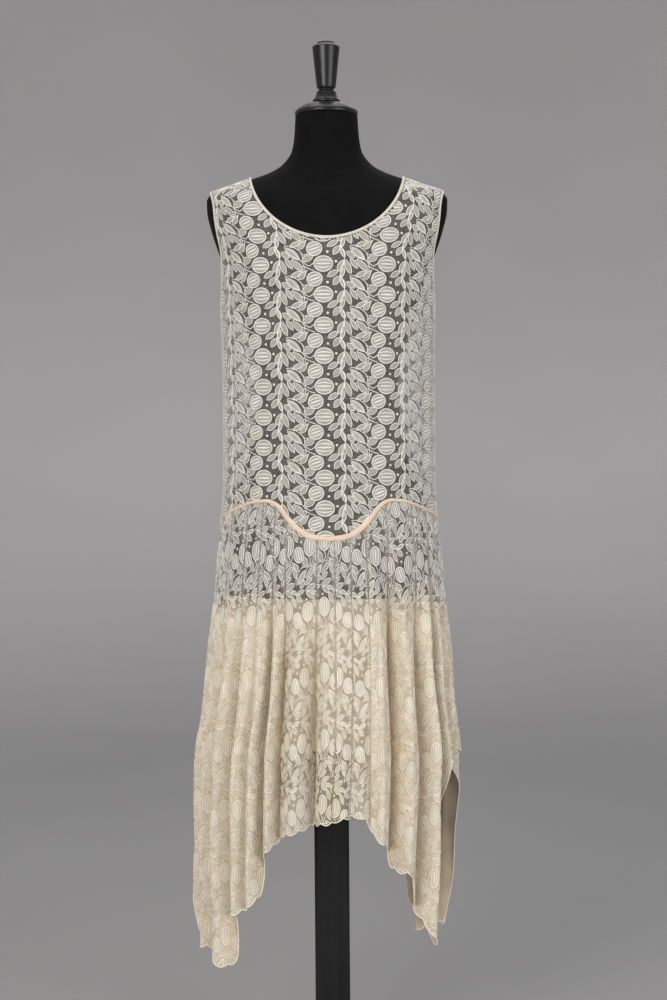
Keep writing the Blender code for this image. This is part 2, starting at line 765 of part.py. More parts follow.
def hip_piping(name, centre, collection):
    """The folded strip that covers half of the hip seam, crowned along its middle."""
    def build(bm):
        rows = [[], [], []]
        for angle in seam_columns(centre):
            height = seam_height(angle)
            ahead = cloth_base(angle + 0.5, seam_height(angle + 0.5))
            behind = cloth_base(angle - 0.5, seam_height(angle - 0.5))
            across = outward(angle, height).cross(ahead - behind).normalized()
            for row, side in zip(rows, (-1, 0, 1)):
                lift = PIPING_GAP + PIPING_THICKNESS + (PIPING_CROWN if side == 0 else 0)
                point = cloth_point(angle, height, lift) + across * piping_half_width(angle) * side
                row.append(bm.verts.new(point))
        for lower, upper in zip(rows, rows[1:]):
            face_rows(bm, lower, upper)

    return cloth_sheet(name, build, PIPING_THICKNESS, "piping", collection)


def main():
    clear_scene()
    collection = bpy.data.collections.new("lace_dress_on_form")
    bpy.context.scene.collection.children.link(collection)
    square_block("base_plate", BASE_WIDTH, 0.0, BASE_THICKNESS, BASE_CHAMFER, "black_wood", collection)
    post_low = BASE_THICKNESS + SEAT_GAP
    square_block("post", POST_WIDTH, post_low, FORM_BOTTOM - SEAT_GAP, POST_CHAMFER, "black_wood", collection)
    form_body(collection)
    turned_piece("neck_cap", NECK_CAP, "black_wood", collection)
    turned_piece("finial", FINIAL, "black_wood", collection)
    bodice_panel("bodice_front", 0, NECK_DEPTH_FRONT, FRONT_SCOOP, collection)
    bodice_panel("bodice_back", 180, NECK_DEPTH_BACK, BACK_SCOOP, collection)
    skirt_panel("skirt_front", 0, FRONT_FURROWS, collection)
    skirt_panel("skirt_back", 180, BACK_FURROWS, collection)
    underskirt(collection)
    neck_binding(collection)
    armhole_binding("armhole_binding_right", -1, collection)
    armhole_binding("armhole_binding_left", 1, collection)
    hip_piping("hip_piping_front", 0, collection)
    hip_piping("hip_piping_back", 180, collection)


main()
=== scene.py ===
"""The looks of a sleeveless lace dress on a limbless dress form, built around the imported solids.

Metres, +Z up, the dress faces -Y. An angle round the body is 0 at the centre front, 90 at +X and 180 at the
centre back. The cloth follows the same tables of sections, furrows and edges as the solids do, with finer
folds, and the lace is a small repeat of flowers and leaves, charted flat and laid on the cloth.
"""
import json
import math
from collections import namedtuple

import bpy
import numpy as np
from mathutils import Matrix, Vector
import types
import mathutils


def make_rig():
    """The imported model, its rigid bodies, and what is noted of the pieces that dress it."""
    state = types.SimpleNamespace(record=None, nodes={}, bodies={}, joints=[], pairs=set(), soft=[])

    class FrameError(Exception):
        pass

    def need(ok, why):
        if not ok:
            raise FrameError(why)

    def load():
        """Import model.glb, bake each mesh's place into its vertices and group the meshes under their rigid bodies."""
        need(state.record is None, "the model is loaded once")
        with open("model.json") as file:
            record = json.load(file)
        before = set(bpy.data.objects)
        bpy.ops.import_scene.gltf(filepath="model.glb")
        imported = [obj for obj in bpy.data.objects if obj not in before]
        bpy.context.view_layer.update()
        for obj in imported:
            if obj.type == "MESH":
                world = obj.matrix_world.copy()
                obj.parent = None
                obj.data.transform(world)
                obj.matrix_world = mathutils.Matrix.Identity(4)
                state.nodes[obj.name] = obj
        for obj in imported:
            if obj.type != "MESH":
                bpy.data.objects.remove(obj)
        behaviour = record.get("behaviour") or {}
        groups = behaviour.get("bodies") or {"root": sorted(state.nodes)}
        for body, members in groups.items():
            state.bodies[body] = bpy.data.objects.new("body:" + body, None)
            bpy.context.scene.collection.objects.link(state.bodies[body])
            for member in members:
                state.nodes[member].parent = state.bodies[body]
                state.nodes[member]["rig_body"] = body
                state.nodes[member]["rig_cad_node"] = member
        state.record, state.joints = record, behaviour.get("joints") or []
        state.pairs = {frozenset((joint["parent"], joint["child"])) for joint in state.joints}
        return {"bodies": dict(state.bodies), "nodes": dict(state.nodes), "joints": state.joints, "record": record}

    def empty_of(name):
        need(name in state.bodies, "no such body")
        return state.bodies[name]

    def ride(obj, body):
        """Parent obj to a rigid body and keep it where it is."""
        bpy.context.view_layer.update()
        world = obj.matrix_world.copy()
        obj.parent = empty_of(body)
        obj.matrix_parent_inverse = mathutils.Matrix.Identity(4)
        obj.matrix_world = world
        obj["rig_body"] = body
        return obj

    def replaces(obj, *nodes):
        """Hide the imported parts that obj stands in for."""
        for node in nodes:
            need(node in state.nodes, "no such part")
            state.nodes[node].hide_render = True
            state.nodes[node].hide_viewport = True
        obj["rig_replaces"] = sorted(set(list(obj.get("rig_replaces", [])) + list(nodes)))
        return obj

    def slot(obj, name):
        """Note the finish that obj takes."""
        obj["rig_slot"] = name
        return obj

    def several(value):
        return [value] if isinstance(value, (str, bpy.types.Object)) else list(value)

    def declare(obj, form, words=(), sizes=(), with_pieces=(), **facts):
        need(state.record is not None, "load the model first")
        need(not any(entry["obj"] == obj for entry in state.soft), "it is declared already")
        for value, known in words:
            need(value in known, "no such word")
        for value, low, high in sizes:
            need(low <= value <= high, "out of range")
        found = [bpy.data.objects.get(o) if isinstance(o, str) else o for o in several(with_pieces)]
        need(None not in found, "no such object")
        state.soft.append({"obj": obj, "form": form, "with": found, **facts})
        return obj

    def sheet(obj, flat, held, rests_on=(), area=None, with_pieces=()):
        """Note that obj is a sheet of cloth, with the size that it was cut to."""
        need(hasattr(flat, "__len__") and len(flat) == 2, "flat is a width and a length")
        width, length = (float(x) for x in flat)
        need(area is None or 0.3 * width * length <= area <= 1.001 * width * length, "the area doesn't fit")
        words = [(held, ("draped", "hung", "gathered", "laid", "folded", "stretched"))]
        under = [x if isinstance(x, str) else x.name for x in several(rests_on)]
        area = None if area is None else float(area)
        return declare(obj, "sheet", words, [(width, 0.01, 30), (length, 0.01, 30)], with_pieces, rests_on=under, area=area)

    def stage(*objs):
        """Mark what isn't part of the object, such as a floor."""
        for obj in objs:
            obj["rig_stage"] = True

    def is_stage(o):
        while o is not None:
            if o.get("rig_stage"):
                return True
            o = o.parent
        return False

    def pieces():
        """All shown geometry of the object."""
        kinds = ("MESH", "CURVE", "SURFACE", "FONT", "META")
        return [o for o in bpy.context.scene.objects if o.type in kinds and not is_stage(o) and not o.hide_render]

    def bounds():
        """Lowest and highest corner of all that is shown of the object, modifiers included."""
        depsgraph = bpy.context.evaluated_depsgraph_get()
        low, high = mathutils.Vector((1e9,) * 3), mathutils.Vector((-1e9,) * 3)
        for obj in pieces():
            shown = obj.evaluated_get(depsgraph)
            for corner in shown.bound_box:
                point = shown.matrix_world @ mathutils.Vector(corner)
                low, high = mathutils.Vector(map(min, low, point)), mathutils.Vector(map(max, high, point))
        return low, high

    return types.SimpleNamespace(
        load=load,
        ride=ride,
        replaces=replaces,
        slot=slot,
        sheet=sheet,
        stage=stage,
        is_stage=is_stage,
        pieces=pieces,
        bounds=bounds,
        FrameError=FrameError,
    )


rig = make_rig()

for leftover in list(bpy.data.objects):
    bpy.data.objects.remove(leftover)
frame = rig.load()
cad_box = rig.bounds()

# Driving sizes, as the solids have them
SEAM_GAP = 0.0005
HIP_GAP = 0.0010
WALL = 0.0010
SHOULDER_CLEARANCE = 0.0010
CHEST_CLEARANCE = 0.0024
CHEST_TOP = 1.395
FORM_BOTTOM = 0.784
NECK_TOP = 1.5616
NECK_POINT = 1.460
NECK_HALF_WIDTH = 0.122
NECK_DEPTH_FRONT = 0.104
NECK_DEPTH_BACK = 0.066
NECK_ROUNDNESS = 1.7
TOP_ROW = NECK_POINT - 0.0008
SHOULDER_TIP = 1.4400
STRAP_FOOT = 1.41  # above it the neckline is steep
SIDE_SEAM_FOOT = 0.915
UNDERARM = 1.255
BINDING_RADIUS = 0.0017
BINDING_GAP = 0.0006
BINDING_LIFT = 0.0014
BINDING_BESIDE = 0.55  # how far beside the edge its middle lies, as a share of its radius
NECK_TAPE_HALF_WIDTH = BINDING_RADIUS * 1.35
ARMHOLE_TAPE_HALF_WIDTH = BINDING_RADIUS * 1.2
TAPE_HALF_HEIGHT = BINDING_RADIUS * 0.8
PIPING_LIFT = 0.0017  # from the cloth to the piping's outer face
PIPING_HALF_WIDTH = 0.0023
PIPING_WIDE_HALF_WIDTH = 0.0045
PIPING_WIDE_AT, PIPING_WIDE_SPREAD = 12, 16  # degrees
PIPING_CROWN, PIPING_TURN_IN, PIPING_PUCKERS = 0.0007, 0.0012, 0.00035


def table(kind, rows):
    return [kind(*row) for row in rows]


# The body's sections. squareness is the exponent of the section's oval: 2 is an ellipse.
Section = namedtuple("Section", "height half_width front back squareness", defaults=[2.2])
FORM_SECTIONS = table(Section, [
    (FORM_BOTTOM, 0.159, 0.111, 0.111), (0.8, 0.16, 0.1125, 0.1125),
    (0.84, 0.163, 0.117, 0.118), (0.89, 0.161, 0.117, 0.119), (0.95, 0.15, 0.109, 0.113),
    (1.03, 0.128, 0.098, 0.098), (1.12, 0.111, 0.09, 0.086), (1.19, 0.121, 0.098, 0.09),
    (1.25, 0.142, 0.114, 0.096), (1.3, 0.158, 0.122, 0.1), (1.34, 0.172, 0.117, 0.101),
    (1.38, 0.185, 0.104, 0.098), (1.41, 0.1915, 0.092, 0.091), (1.427, 0.192, 0.083, 0.084),
    (1.4335, 0.189, 0.079, 0.08), (1.4385, 0.1845, 0.0755, 0.0765),
    (1.443, 0.172, 0.072, 0.073), (1.4485, 0.156, 0.069, 0.07), (1.454, 0.14, 0.066, 0.068),
    (1.46, 0.122, 0.063, 0.065), (1.4696, 0.095, 0.059, 0.061, 2.15),
    (1.4825, 0.0725, 0.056, 0.057, 2.1), (1.505, 0.056, 0.053, 0.053, 2.05),
    (1.525, 0.052, 0.0515, 0.0515, 2.0), (1.5616, 0.0494, 0.049, 0.049, 2.0),
])
HANGING_SECTIONS = table(Section, [
    (0.2, 0.207, 0.164, 0.162), (0.45, 0.212, 0.166, 0.163), (0.55, 0.2105, 0.165, 0.161),
    (0.592, 0.206, 0.162, 0.158), (0.656, 0.198, 0.156, 0.152), (0.72, 0.191, 0.149, 0.145),
    (0.784, 0.184, 0.142, 0.138), (0.848, 0.1775, 0.136, 0.131), (0.915, 0.171, 0.13, 0.124),
    (0.944, 0.168, 0.129, 0.122), (0.986, 0.166, 0.128, 0.12), (1.104, 0.165, 0.127, 0.116),
    (1.165, 0.1655, 0.1265, 0.114), (1.259, 0.168, 0.1255, 0.11), (1.3, 0.169, 0.124, 0.106),
])
FIRST_TOUCHING = 1.34
CLOTH_SECTIONS = HANGING_SECTIONS + [s for s in FORM_SECTIONS if s.height >= FIRST_TOUCHING]
UNDERSKIRT_SECTIONS = table(Section, [
    (0.565, 0.166, 0.122, 0.122), (0.67, 0.165, 0.12, 0.12), (0.76, 0.163, 0.116, 0.116),
    (FORM_BOTTOM, 0.1614, 0.1134, 0.1134), (0.8, 0.1618, 0.1143, 0.1143),
])
Sway = namedtuple("Sway", "height offset")
SWAYS = [Sway(0.20, -0.011), Sway(0.35, -0.010), Sway(0.55, -0.005), Sway(0.75, -0.001), Sway(0.90, 0.0)]

ArmholeEdge = namedtuple("ArmholeEdge", "height angle")
ARMHOLE = table(ArmholeEdge, [
    (1.255, 90.0), (1.259, 83.5), (1.268, 79.5), (1.29, 75.5), (1.32, 73.0), (1.35, 70.5), (1.38, 66.5),
    (1.41, 64.5), (1.425, 66.0), (1.434, 71.0), (1.4375, 77.0), (1.44, 90.0),
])
FRONT_SCOOP, BACK_SCOOP = 1.0, 0.75  # how far the armhole is cut into each panel
SeamHeight = namedtuple("SeamHeight", "angle height")
HIP_SEAM = table(SeamHeight, [
    (0, 0.895), (8, 0.899), (14, 0.91), (20, 0.928), (26, 0.947), (32, 0.9535), (40, 0.952), (50, 0.945),
    (60, 0.937), (75, 0.926), (90, 0.915),
])

# The skirt's furrows between its flutes: where each lies, how deep it gets and where it starts
Furrow = namedtuple("Furrow", "angle depth start")
FRONT_FURROWS = table(Furrow, [
    (-90, 0.024, 0.88), (-75, 0.018, 0.78), (-61, 0.02, 0.82), (-46, 0.029, 0.84), (-35, 0.016, 0.78),
    (-27, 0.028, 0.88), (-20, 0.03, 0.86), (-5, 0.03, 0.84), (2, 0.009, 0.66), (9, 0.011, 0.66),
    (17, 0.013, 0.7), (29, 0.032, 0.92), (47, 0.032, 0.88), (60, 0.028, 0.9), (69, 0.018, 0.88),
    (79, 0.018, 0.86), (90, 0.022, 0.88),
])
BACK_FURROWS = table(Furrow, [
    (90, 0.022, 0.88), (104, 0.018, 0.84), (117, 0.017, 0.88), (129, 0.027, 0.9), (138, 0.018, 0.82),
    (150, 0.03, 0.9), (162, 0.022, 0.8), (174, 0.012, 0.72), (184, 0.014, 0.7), (196, 0.024, 0.82),
    (208, 0.03, 0.9), (221, 0.02, 0.84), (232, 0.03, 0.9), (245, 0.026, 0.86), (257, 0.018, 0.8),
    (270, 0.024, 0.88),
])
FURROW_RUN = 0.24
FURROW_ROUNDNESS = 1.45  # lower is a rounder crest between sharper furrows
HemHeight = namedtuple("HemHeight", "angle height")
HEM = table(HemHeight, [
    (-90, 0.38), (-84, 0.355), (-80, 0.266), (-75, 0.252), (-62, 0.246), (-51, 0.226), (-47, 0.238),
    (-44, 0.31), (-35, 0.324), (-29, 0.345), (-25, 0.412), (-19, 0.436), (-8, 0.456), (0, 0.464),
    (12, 0.474), (20, 0.44), (28, 0.412), (31, 0.386), (38, 0.376), (41, 0.332), (46, 0.318), (50, 0.298),
    (56, 0.256), (59.5, 0.272), (62, 0.48), (65, 0.545), (75, 0.55), (90, 0.549), (93, 0.515), (96, 0.49),
    (99, 0.31), (102, 0.254), (118, 0.24), (130, 0.224), (142, 0.31), (156, 0.42), (170, 0.458),
    (184, 0.464), (200, 0.436), (215, 0.34), (230, 0.236), (243, 0.262), (256, 0.33), (270, 0.38),
])
HEM_STEP = 0.35
SCALLOP_DEPTH = 0.0055
SCALLOP_WIDTH = 0.0235  # of cloth

# Creases in the bodice, from a low to a high end: width and drift are degrees, drift leans the crease.
Crease = namedtuple("Crease", "angle low high width depth drift")
BODICE_CREASES = table(Crease, [
    (-74, 0.93, 1.26, 3.4, 0.0034, 3.0), (-63, 0.95, 1.2, 3.0, 0.002, -3.0),
    (-46, 1.28, 1.41, 4.0, 0.0012, 4.0), (-30, 0.96, 1.1, 3.5, 0.0011, 2.0),
    (-12, 0.9, 1.03, 3.0, 0.0009, -2.0), (9, 0.9, 1.06, 3.0, 0.001, 2.5),
    (33, 0.96, 1.14, 3.4, 0.0012, -3.0), (48, 1.27, 1.4, 4.0, 0.0013, -4.0),
    (62, 0.94, 1.24, 3.2, 0.0024, 3.0), (75, 0.93, 1.27, 3.2, 0.0036, -2.5),
    (103, 0.93, 1.25, 3.6, 0.0034, 3.0), (118, 0.95, 1.22, 3.4, 0.0022, -3.0),
    (146, 0.95, 1.16, 4.2, 0.0016, 3.0), (171, 0.91, 1.09, 3.6, 0.0013, -2.0),
    (189, 0.91, 1.12, 3.6, 0.0014, 2.0), (214, 0.95, 1.17, 4.0, 0.0017, -3.0),
    (241, 0.95, 1.21, 3.4, 0.0023, 3.0), (256, 0.93, 1.26, 3.4, 0.0034, -2.0),
])
FADE_LOW, FADE_HIGH = 3.2, 2.4  # how fast a crease deepens from its low and its high end
RIDGE_BESIDE, RIDGE_SHARE = 1.9, 0.45  # where a crease's ridge lies, in widths, and how high it is

# The lace's repeat, charted flat on the bodice in millimetres: x to the right and y down from the middle of
# the larger flower.
CHART_WIDTH = 103.0
CHART_HEIGHT = 50.0
BODICE_REPEAT = (0.0975, 0.0468)  # the repeat's real width and height on the cloth
# On the skirt the repeat is turned a quarter, so that the flowers lie in rows, and drawn narrow, as the
# gathered cloth shows it.
SKIRT_REPEAT = (0.1000, 0.0330)
BODICE_FLOWER_HEIGHT = 1.0357
BODICE_FLOWER_OFFSET = -0.006
SKIRT_FLOWER_HEIGHT = 0.8905
Flower = namedtuple("Flower", "x y half_width half_height tilt")
FLOWERS = [Flower(0.0, 0.0, 15.5, 13.3, 0), Flower(-14.0, 25.0, 12.6, 12.0, -20)]
Leaf = namedtuple("Leaf", "x y tip_x tip_y half_width fullest inner", defaults=[0.5, 0.0])
LEAVES = table(Leaf, [
    (31.5, -6.0, 22.5, 14.0, 4.0), (33.0, 6.5, 27.0, 25.0, 2.7),
    (23.5, 11.0, 5.5, 21.5, 4.1), (25.5, 20.0, 15.5, 35.5, 4.4),
    (27.5, 23.0, 34.0, 41.0, 3.0), (33.5, -7.5, 44.0, 18.0, 4.1),
    (42.0, -9.5, 54.5, 9.0, 3.3), (36.5, -20.5, 49.5, -9.5, 4.0),
    (41.5, 22.0, 66.5, 44.5, 5.0, 0.5, 0.55), (53.5, -6.0, 70.5, 12.5, 4.4),
    (70.0, 12.5, 50.0, 22.0, 3.6), (78.0, 9.5, 63.5, 26.0, 4.4, 0.68, 0.0),
    (87.5, 36.5, 69.0, 45.5, 5.0),
])
Dot = namedtuple("Dot", "x y radius")
DOTS = [Dot(19.7, -3.7, 2.1), Dot(6.4, 30.3, 2.1)]
Stalk = namedtuple("Stalk", "points width")
STALKS = [
    Stalk([(71.5, -3.0), (76.0, 1.5), (79.6, 3.7), (84.5, 1.5), (88.5, -2.0)], 1.3),
    Stalk([(69.3, 3.7), (76.7, 6.7), (82.5, 9.5), (88.5, 11.1)], 1.3),
    Stalk([(50.8, -3.7), (57.4, -9.6), (65.6, -6.5), (73.0, 4.5), (72.0, 12.0)], 1.2),
    Stalk([(41.1, 20.6), (50.0, 19.8), (61.4, 25.6), (69.8, 34.0), (70.5, 43.5)], 1.2),
    Stalk([(67.8, 33.3), (73.0, 35.5), (78.1, 33.3)], 1.2),
]
STEM_X = 30.2
STEM_SWING = 3.3
STEM_PHASE = 11.0
STEM_WIDTH = 1.3
OUTLINE_WIDTH = 1.4
RING_WIDTH = 1.7
RIBS = [(-0.47, 1.9), (0.0, 2.7), (0.47, 1.9)]  # each rib's place across a flower and its width
RIB_REACH = 0.74  # how far the ribs run towards the poles
FLOWER_FILL = 0.86  # how far a flower's and a leaf's fill reach towards their outlines
LEAF_FILL = 0.66
LEAF_FULLNESS = 1.17
LEAF_ROUNDNESS = 0.85  # less is rounder
LEAF_OUTLINE, FLOWER_OUTLINE = 0.9, 0.95  # where an outline's middle runs, as a share of the shape
LEAF_STEP = 3.8  # millimetres
THREAD_LIFT = 0.55  # how far a thread's ridge stands off the fill, in millimetres
FILL_LIFT = 0.25  # how far the fills lie off the net, in millimetres

MILLIMETRE = 0.001


def hermite(t, width, ends, slopes):
    """A smooth curve a share t of the way between two ends, whose slopes are given."""
    return (
        (1 + 2 * t) * (1 - t) ** 2 * ends[0]
        + t * (1 - t) ** 2 * width * slopes[0]
        + t * t * (3 - 2 * t) * ends[1]
        + t * t * (t - 1) * width * slopes[1]
    )


def smooth_curve(rows, key, column):
    """A function that reads a column at values of the key, from a smooth curve through a table's rows."""
    xs, ys = (np.array([getattr(row, name) for row in rows], float) for name in (key, column))
    secants = np.diff(ys) / np.diff(xs)
    before, after = secants[:-1], secants[1:]
    rising = before * after > 0
    inner = np.where(rising, 2 * before * after / np.where(rising, before + after, 1), 0)
    slopes = np.concatenate([secants[:1], inner, secants[-1:]])

    def at(values):
        values = np.clip(values, xs[0], xs[-1])
        i = np.clip(np.searchsorted(xs, values, side="right") - 1, 0, len(xs) - 2)
        width = xs[i + 1] - xs[i]
        return hermite((values - xs[i]) / width, width, (ys[i], ys[i + 1]), (slopes[i], slopes[i + 1]))

    return at


def section_curves(sections):
    return {name: smooth_curve(sections, "height", name) for name in Section._fields[1:]}


CLOTH = section_curves(CLOTH_SECTIONS)
FORM = section_curves(FORM_SECTIONS)
UNDERSKIRT = section_curves(UNDERSKIRT_SECTIONS)
SWAY_AT = smooth_curve(SWAYS, "height", "offset")
ARMHOLE_AT = smooth_curve(ARMHOLE, "height", "angle")
HIP_SEAM_AT = smooth_curve(HIP_SEAM, "angle", "height")
HEM_AT = smooth_curve(HEM, "angle", "height")


def smooth_step(t):
    t = np.clip(t, 0, 1)
    return t * t * (3 - 2 * t)


def bell(t):
    """1 at 0, and smoothly less on both sides."""
    return np.exp(-(t**2))


def at_ends(share, width):
    """1 at both ends of 0 to 1, and less between them."""
    return bell(share / width) + bell((1 - share) / width)


def closed_up(points):
    return np.vstack([points, points[:1]])


def circle(count):
    turn = np.linspace(0, 2 * np.pi, count + 1)[:-1]
    return np.stack([np.cos(turn), np.sin(turn)], axis=1)


def oval(sections, angle, height):
    """Points of a body, by their angles in degrees and their heights."""
    angle, height = np.broadcast_arrays(np.asarray(angle, float), np.asarray(height, float))
    sine, cosine = np.sin(np.radians(angle)), np.cos(np.radians(angle))
    power = 2 / sections["squareness"](height)
    depth = np.where(cosine > 0, sections["front"](height), sections["back"](height))
    x = sections["half_width"](height) * np.sign(sine) * np.abs(sine) ** power
    y = -depth * np.sign(cosine) * np.abs(cosine) ** power
    return np.stack([x, y, height], axis=-1)


def cloth_base(angle, height):
    points = oval(CLOTH, angle, height)
    points[..., 0] += SWAY_AT(height)
    return points


def normalised(vectors):
    return vectors / np.maximum(np.linalg.norm(vectors, axis=-1, keepdims=True), 1e-12)


def outward(angle, height):
    across = cloth_base(angle + 1, height) - cloth_base(angle - 1, height)
    up = cloth_base(angle, height + 0.0015) - cloth_base(angle, height - 0.0015)
    return normalised(np.cross(across, up))


def clearance(height):
    share = smooth_step((height - CHEST_TOP) / (SHOULDER_TIP - CHEST_TOP))
    return CHEST_CLEARANCE + (SHOULDER_CLEARANCE - CHEST_CLEARANCE) * share


def cloth_point(angle, height, lift=0.0):
    """Points of the dress's outer face, or lifted off it."""
    angle, height = np.broadcast_arrays(np.asarray(angle, float), np.asarray(height, float))
    return cloth_base(angle, height) + outward(angle, height) * (clearance(height) + WALL + lift)[..., None]


def folded_angle(angle):
    """An angle as -90 to 270, the range of the creases' and the hem's tables."""
    return (np.asarray(angle, float) + 90) % 360 - 90


def bodice_point(angle, height):
    """Points of the bodice with its creases, which hang free of the form below the chest."""
    turned = folded_angle(angle)
    sunk = np.zeros(np.broadcast(turned, height).shape)
    for crease in BODICE_CREASES:
        along = (height - crease.low) / (crease.high - crease.low)
        fade = smooth_step(along * FADE_LOW) * smooth_step((1 - along) * FADE_HIGH)
        off = (turned - crease.angle - crease.drift * (along - 0.5) + 180) % 360 - 180
        ridge = bell((off - RIDGE_BESIDE * crease.width) / crease.width)
        sunk += crease.depth * fade * (bell(off / crease.width) - RIDGE_SHARE * ridge)
    return cloth_point(angle, height, -sunk)


def from_centre(angle):
    """How many degrees angles lie from the nearer of the centre front and the centre back."""
    away = np.abs((np.asarray(angle, float) + 180) % 360 - 180)
    return np.minimum(away, 180 - away)


def seam_height(angle):
    return HIP_SEAM_AT(from_centre(angle))


def angle_of_x(x, height):
    """The angles at which the cloth's section reaches distances from the middle."""
    share = np.minimum(1, np.abs(x) / CLOTH["half_width"](height))
    return np.degrees(np.arcsin(share ** (CLOTH["squareness"](height) / 2)))


def neckline_angle(height, depth):
    """The angle of the neckline from a panel's centre line, 0 below it."""
    height = np.asarray(height, float)
    share = np.clip((NECK_POINT - height) / depth, 0, 1)
    half_width = NECK_HALF_WIDTH * np.sqrt(np.maximum(0, 1 - share**NECK_ROUNDNESS))
    return np.where(height > NECK_POINT - depth, angle_of_x(half_width, height), 0.0)


def armhole_angle(height, scoop):
    height = np.asarray(height, float)
    inside = (height > UNDERARM) & (height < SHOULDER_TIP)
    return np.where(inside, 90 - (90 - ARMHOLE_AT(height)) * scoop, 90.0)


def side_limit(height):
    """The angle of a panel's side edge, which lies half the seam gap short of the side line."""
    return 90 - np.degrees(SEAM_GAP / 2 / CLOTH["front"](height))


Panel = namedtuple("Panel", "name centre neck_depth scoop")
BODICE_PANELS = [
    Panel("bodice_front", 0, NECK_DEPTH_FRONT, FRONT_SCOOP),
    Panel("bodice_back", 180, NECK_DEPTH_BACK, BACK_SCOOP),
]


def quads_between(rows, columns, start=0):
    """The quads of a grid of numbered points, each as four of their numbers."""
    index = start + np.arange(rows * columns).reshape(rows, columns)
    corners = [index[:-1, :-1], index[:-1, 1:], index[1:, 1:], index[1:, :-1]]
    return np.stack(corners, axis=-1).reshape(-1, 4)


def grid_piece(name, material, blocks):
    """One mesh from blocks of points, rows x columns x 3, each perhaps with a row of values a point."""
    faces, count = [], 0
    for points, *_ in blocks:
        rows, columns = points.shape[:2]
        faces.append(quads_between(rows, columns, count))
        count += rows * columns
    points, *values = [np.concatenate([part.reshape(-1, part.shape[-1]) for part in parts])
                       for parts in zip(*blocks)]
    return mesh_piece(name, points, np.concatenate(faces), material, *values, merge=True)


def mesh_piece(name, points, faces, material, values=None, merge=False):
    """A smooth mesh of quads. values holds for each point its flat place (across, down), then perhaps how
    many layers lie there and how deep in a furrow it is, 0 to 1, which sets the painted shade there. merge
    joins points less than a micrometre apart."""
    if merge:
        _, first, index = np.unique(np.round(points / 1e-6).astype(np.int64), axis=0, return_index=True,
                                    return_inverse=True)
        faces, points = index.reshape(-1)[faces], points[first]
        values = None if values is None else values[first]
    used, index = np.unique(faces, return_inverse=True)
    points, faces = points[used], index.reshape(-1, 4)
    mesh = bpy.data.meshes.new(name)
    mesh.vertices.add(len(points))
    mesh.vertices.foreach_set("co", points.astype(np.float32).ravel())
    mesh.loops.add(faces.size)
    mesh.loops.foreach_set("vertex_index", faces.astype(np.int32).ravel())
    mesh.polygons.add(len(faces))
    mesh.polygons.foreach_set("loop_start", np.arange(0, faces.size, 4, dtype=np.int32))
    mesh.update(calc_edges=True)
    mesh.validate()
    mesh.shade_smooth()
    if values is not None:
        values = values[used]
        place = np.zeros((len(points), 3), np.float32)
        place[:, :2] = values[:, :2]
        mesh.attributes.new("flat_place", "FLOAT_VECTOR", "POINT").data.foreach_set("vector", place.ravel())
        # the furrow column is the mask of the painted shade in the skirt's furrows
        for column, label in zip(values.T[2:], ("layers", "furrow")):
            layer = mesh.attributes.new(label, "FLOAT", "POINT")
            layer.data.foreach_set("value", column.astype(np.float32))
    mesh.materials.append(material)
    obj = bpy.data.objects.new(name, mesh)
    bpy.context.scene.collection.objects.link(obj)
    return obj


def tape_piece(name, centres, outs, half_width, material):
    """A closed oval tape along points, whose flat side faces out."""
    return grid_piece(name, material, [tube_rows(centres, outs, half_width, TAPE_HALF_HEIGHT, 10, True)])


def tube_rows(centres, outs, half_width, half_height, sides=6, closed=False):
    """The rows of points of an oval cord along a line, and their flat places."""
    if closed:
        centres, outs = closed_up(centres), closed_up(outs)
        along = normalised(np.roll(centres, -1, axis=0) - np.roll(centres, 1, axis=0))
        along[0] = along[-1] = normalised(centres[1] - centres[-2])
    else:
        along = normalised(np.gradient(centres, axis=0))
    across = normalised(np.cross(outs, along))
    up = np.cross(along, across)
    turn = np.linspace(0, 2 * np.pi, sides + 1)
    rows = centres[:, None] + half_width * across[:, None] * np.cos(turn)[None, :, None]
    rows = rows + half_height * up[:, None] * np.sin(turn)[None, :, None]
    values = np.zeros(rows.shape[:2] + (2,))
    values[..., 0] = arc_lengths(centres)[:, None]
    values[..., 1] = half_width * turn / np.pi
    return rows, values


BODICE_COLUMNS = 54  # faces from a panel's centre line to its side
SEAM_ROWS = 46  # rows from the hip seam to the underarm
ROW_APART = 0.006  # rows above the underarm
BODICE_LAYERS = (1.2, 1.5, 1.2, 3.6)  # the most in a side fold, at a seam, at a shoulder, round the side
SIDE_FOLD_AT, SIDE_FOLD_WIDTH, SEAM_WIDTH = 83, 6, 1.6  # degrees
SIDE_FOLD_TOP, SHOULDER_FROM = 1.30, 1.428
ROUND_FROM, ROUND_RUN = 55, 30  # degrees


def arc_lengths(points):
    steps = np.linalg.norm(np.diff(points, axis=0), axis=-1)
    return np.concatenate([[0], np.cumsum(steps)])


MEASURED_HEIGHT = 1.10  # where the bodice's cloth is measured round the body
MEASURED_ANGLE = 45  # where it is measured up the body
ANGLES = np.linspace(0, 100, 201)
ROUND_TO = arc_lengths(cloth_point(ANGLES, MEASURED_HEIGHT))
HEIGHTS = np.linspace(0.86, 1.46, 301)
UP_TO = arc_lengths(cloth_point(MEASURED_ANGLE, HEIGHTS))
UP_TO -= np.interp(BODICE_FLOWER_HEIGHT, HEIGHTS, UP_TO)


def bodice_angle(across, centre):
    """The angle at which the bodice's cloth has gone a distance round from its centre line."""
    return centre + np.sign(across) * np.interp(np.abs(across), ROUND_TO, ANGLES)


def bodice_flat(angle, height, centre):
    """Where points of the bodice lie on the flat cloth: across from the centre line, and up."""
    off = angle - centre
    across = np.sign(off) * np.interp(np.abs(off), ANGLES, ROUND_TO)
    return across, np.interp(height, HEIGHTS, UP_TO)


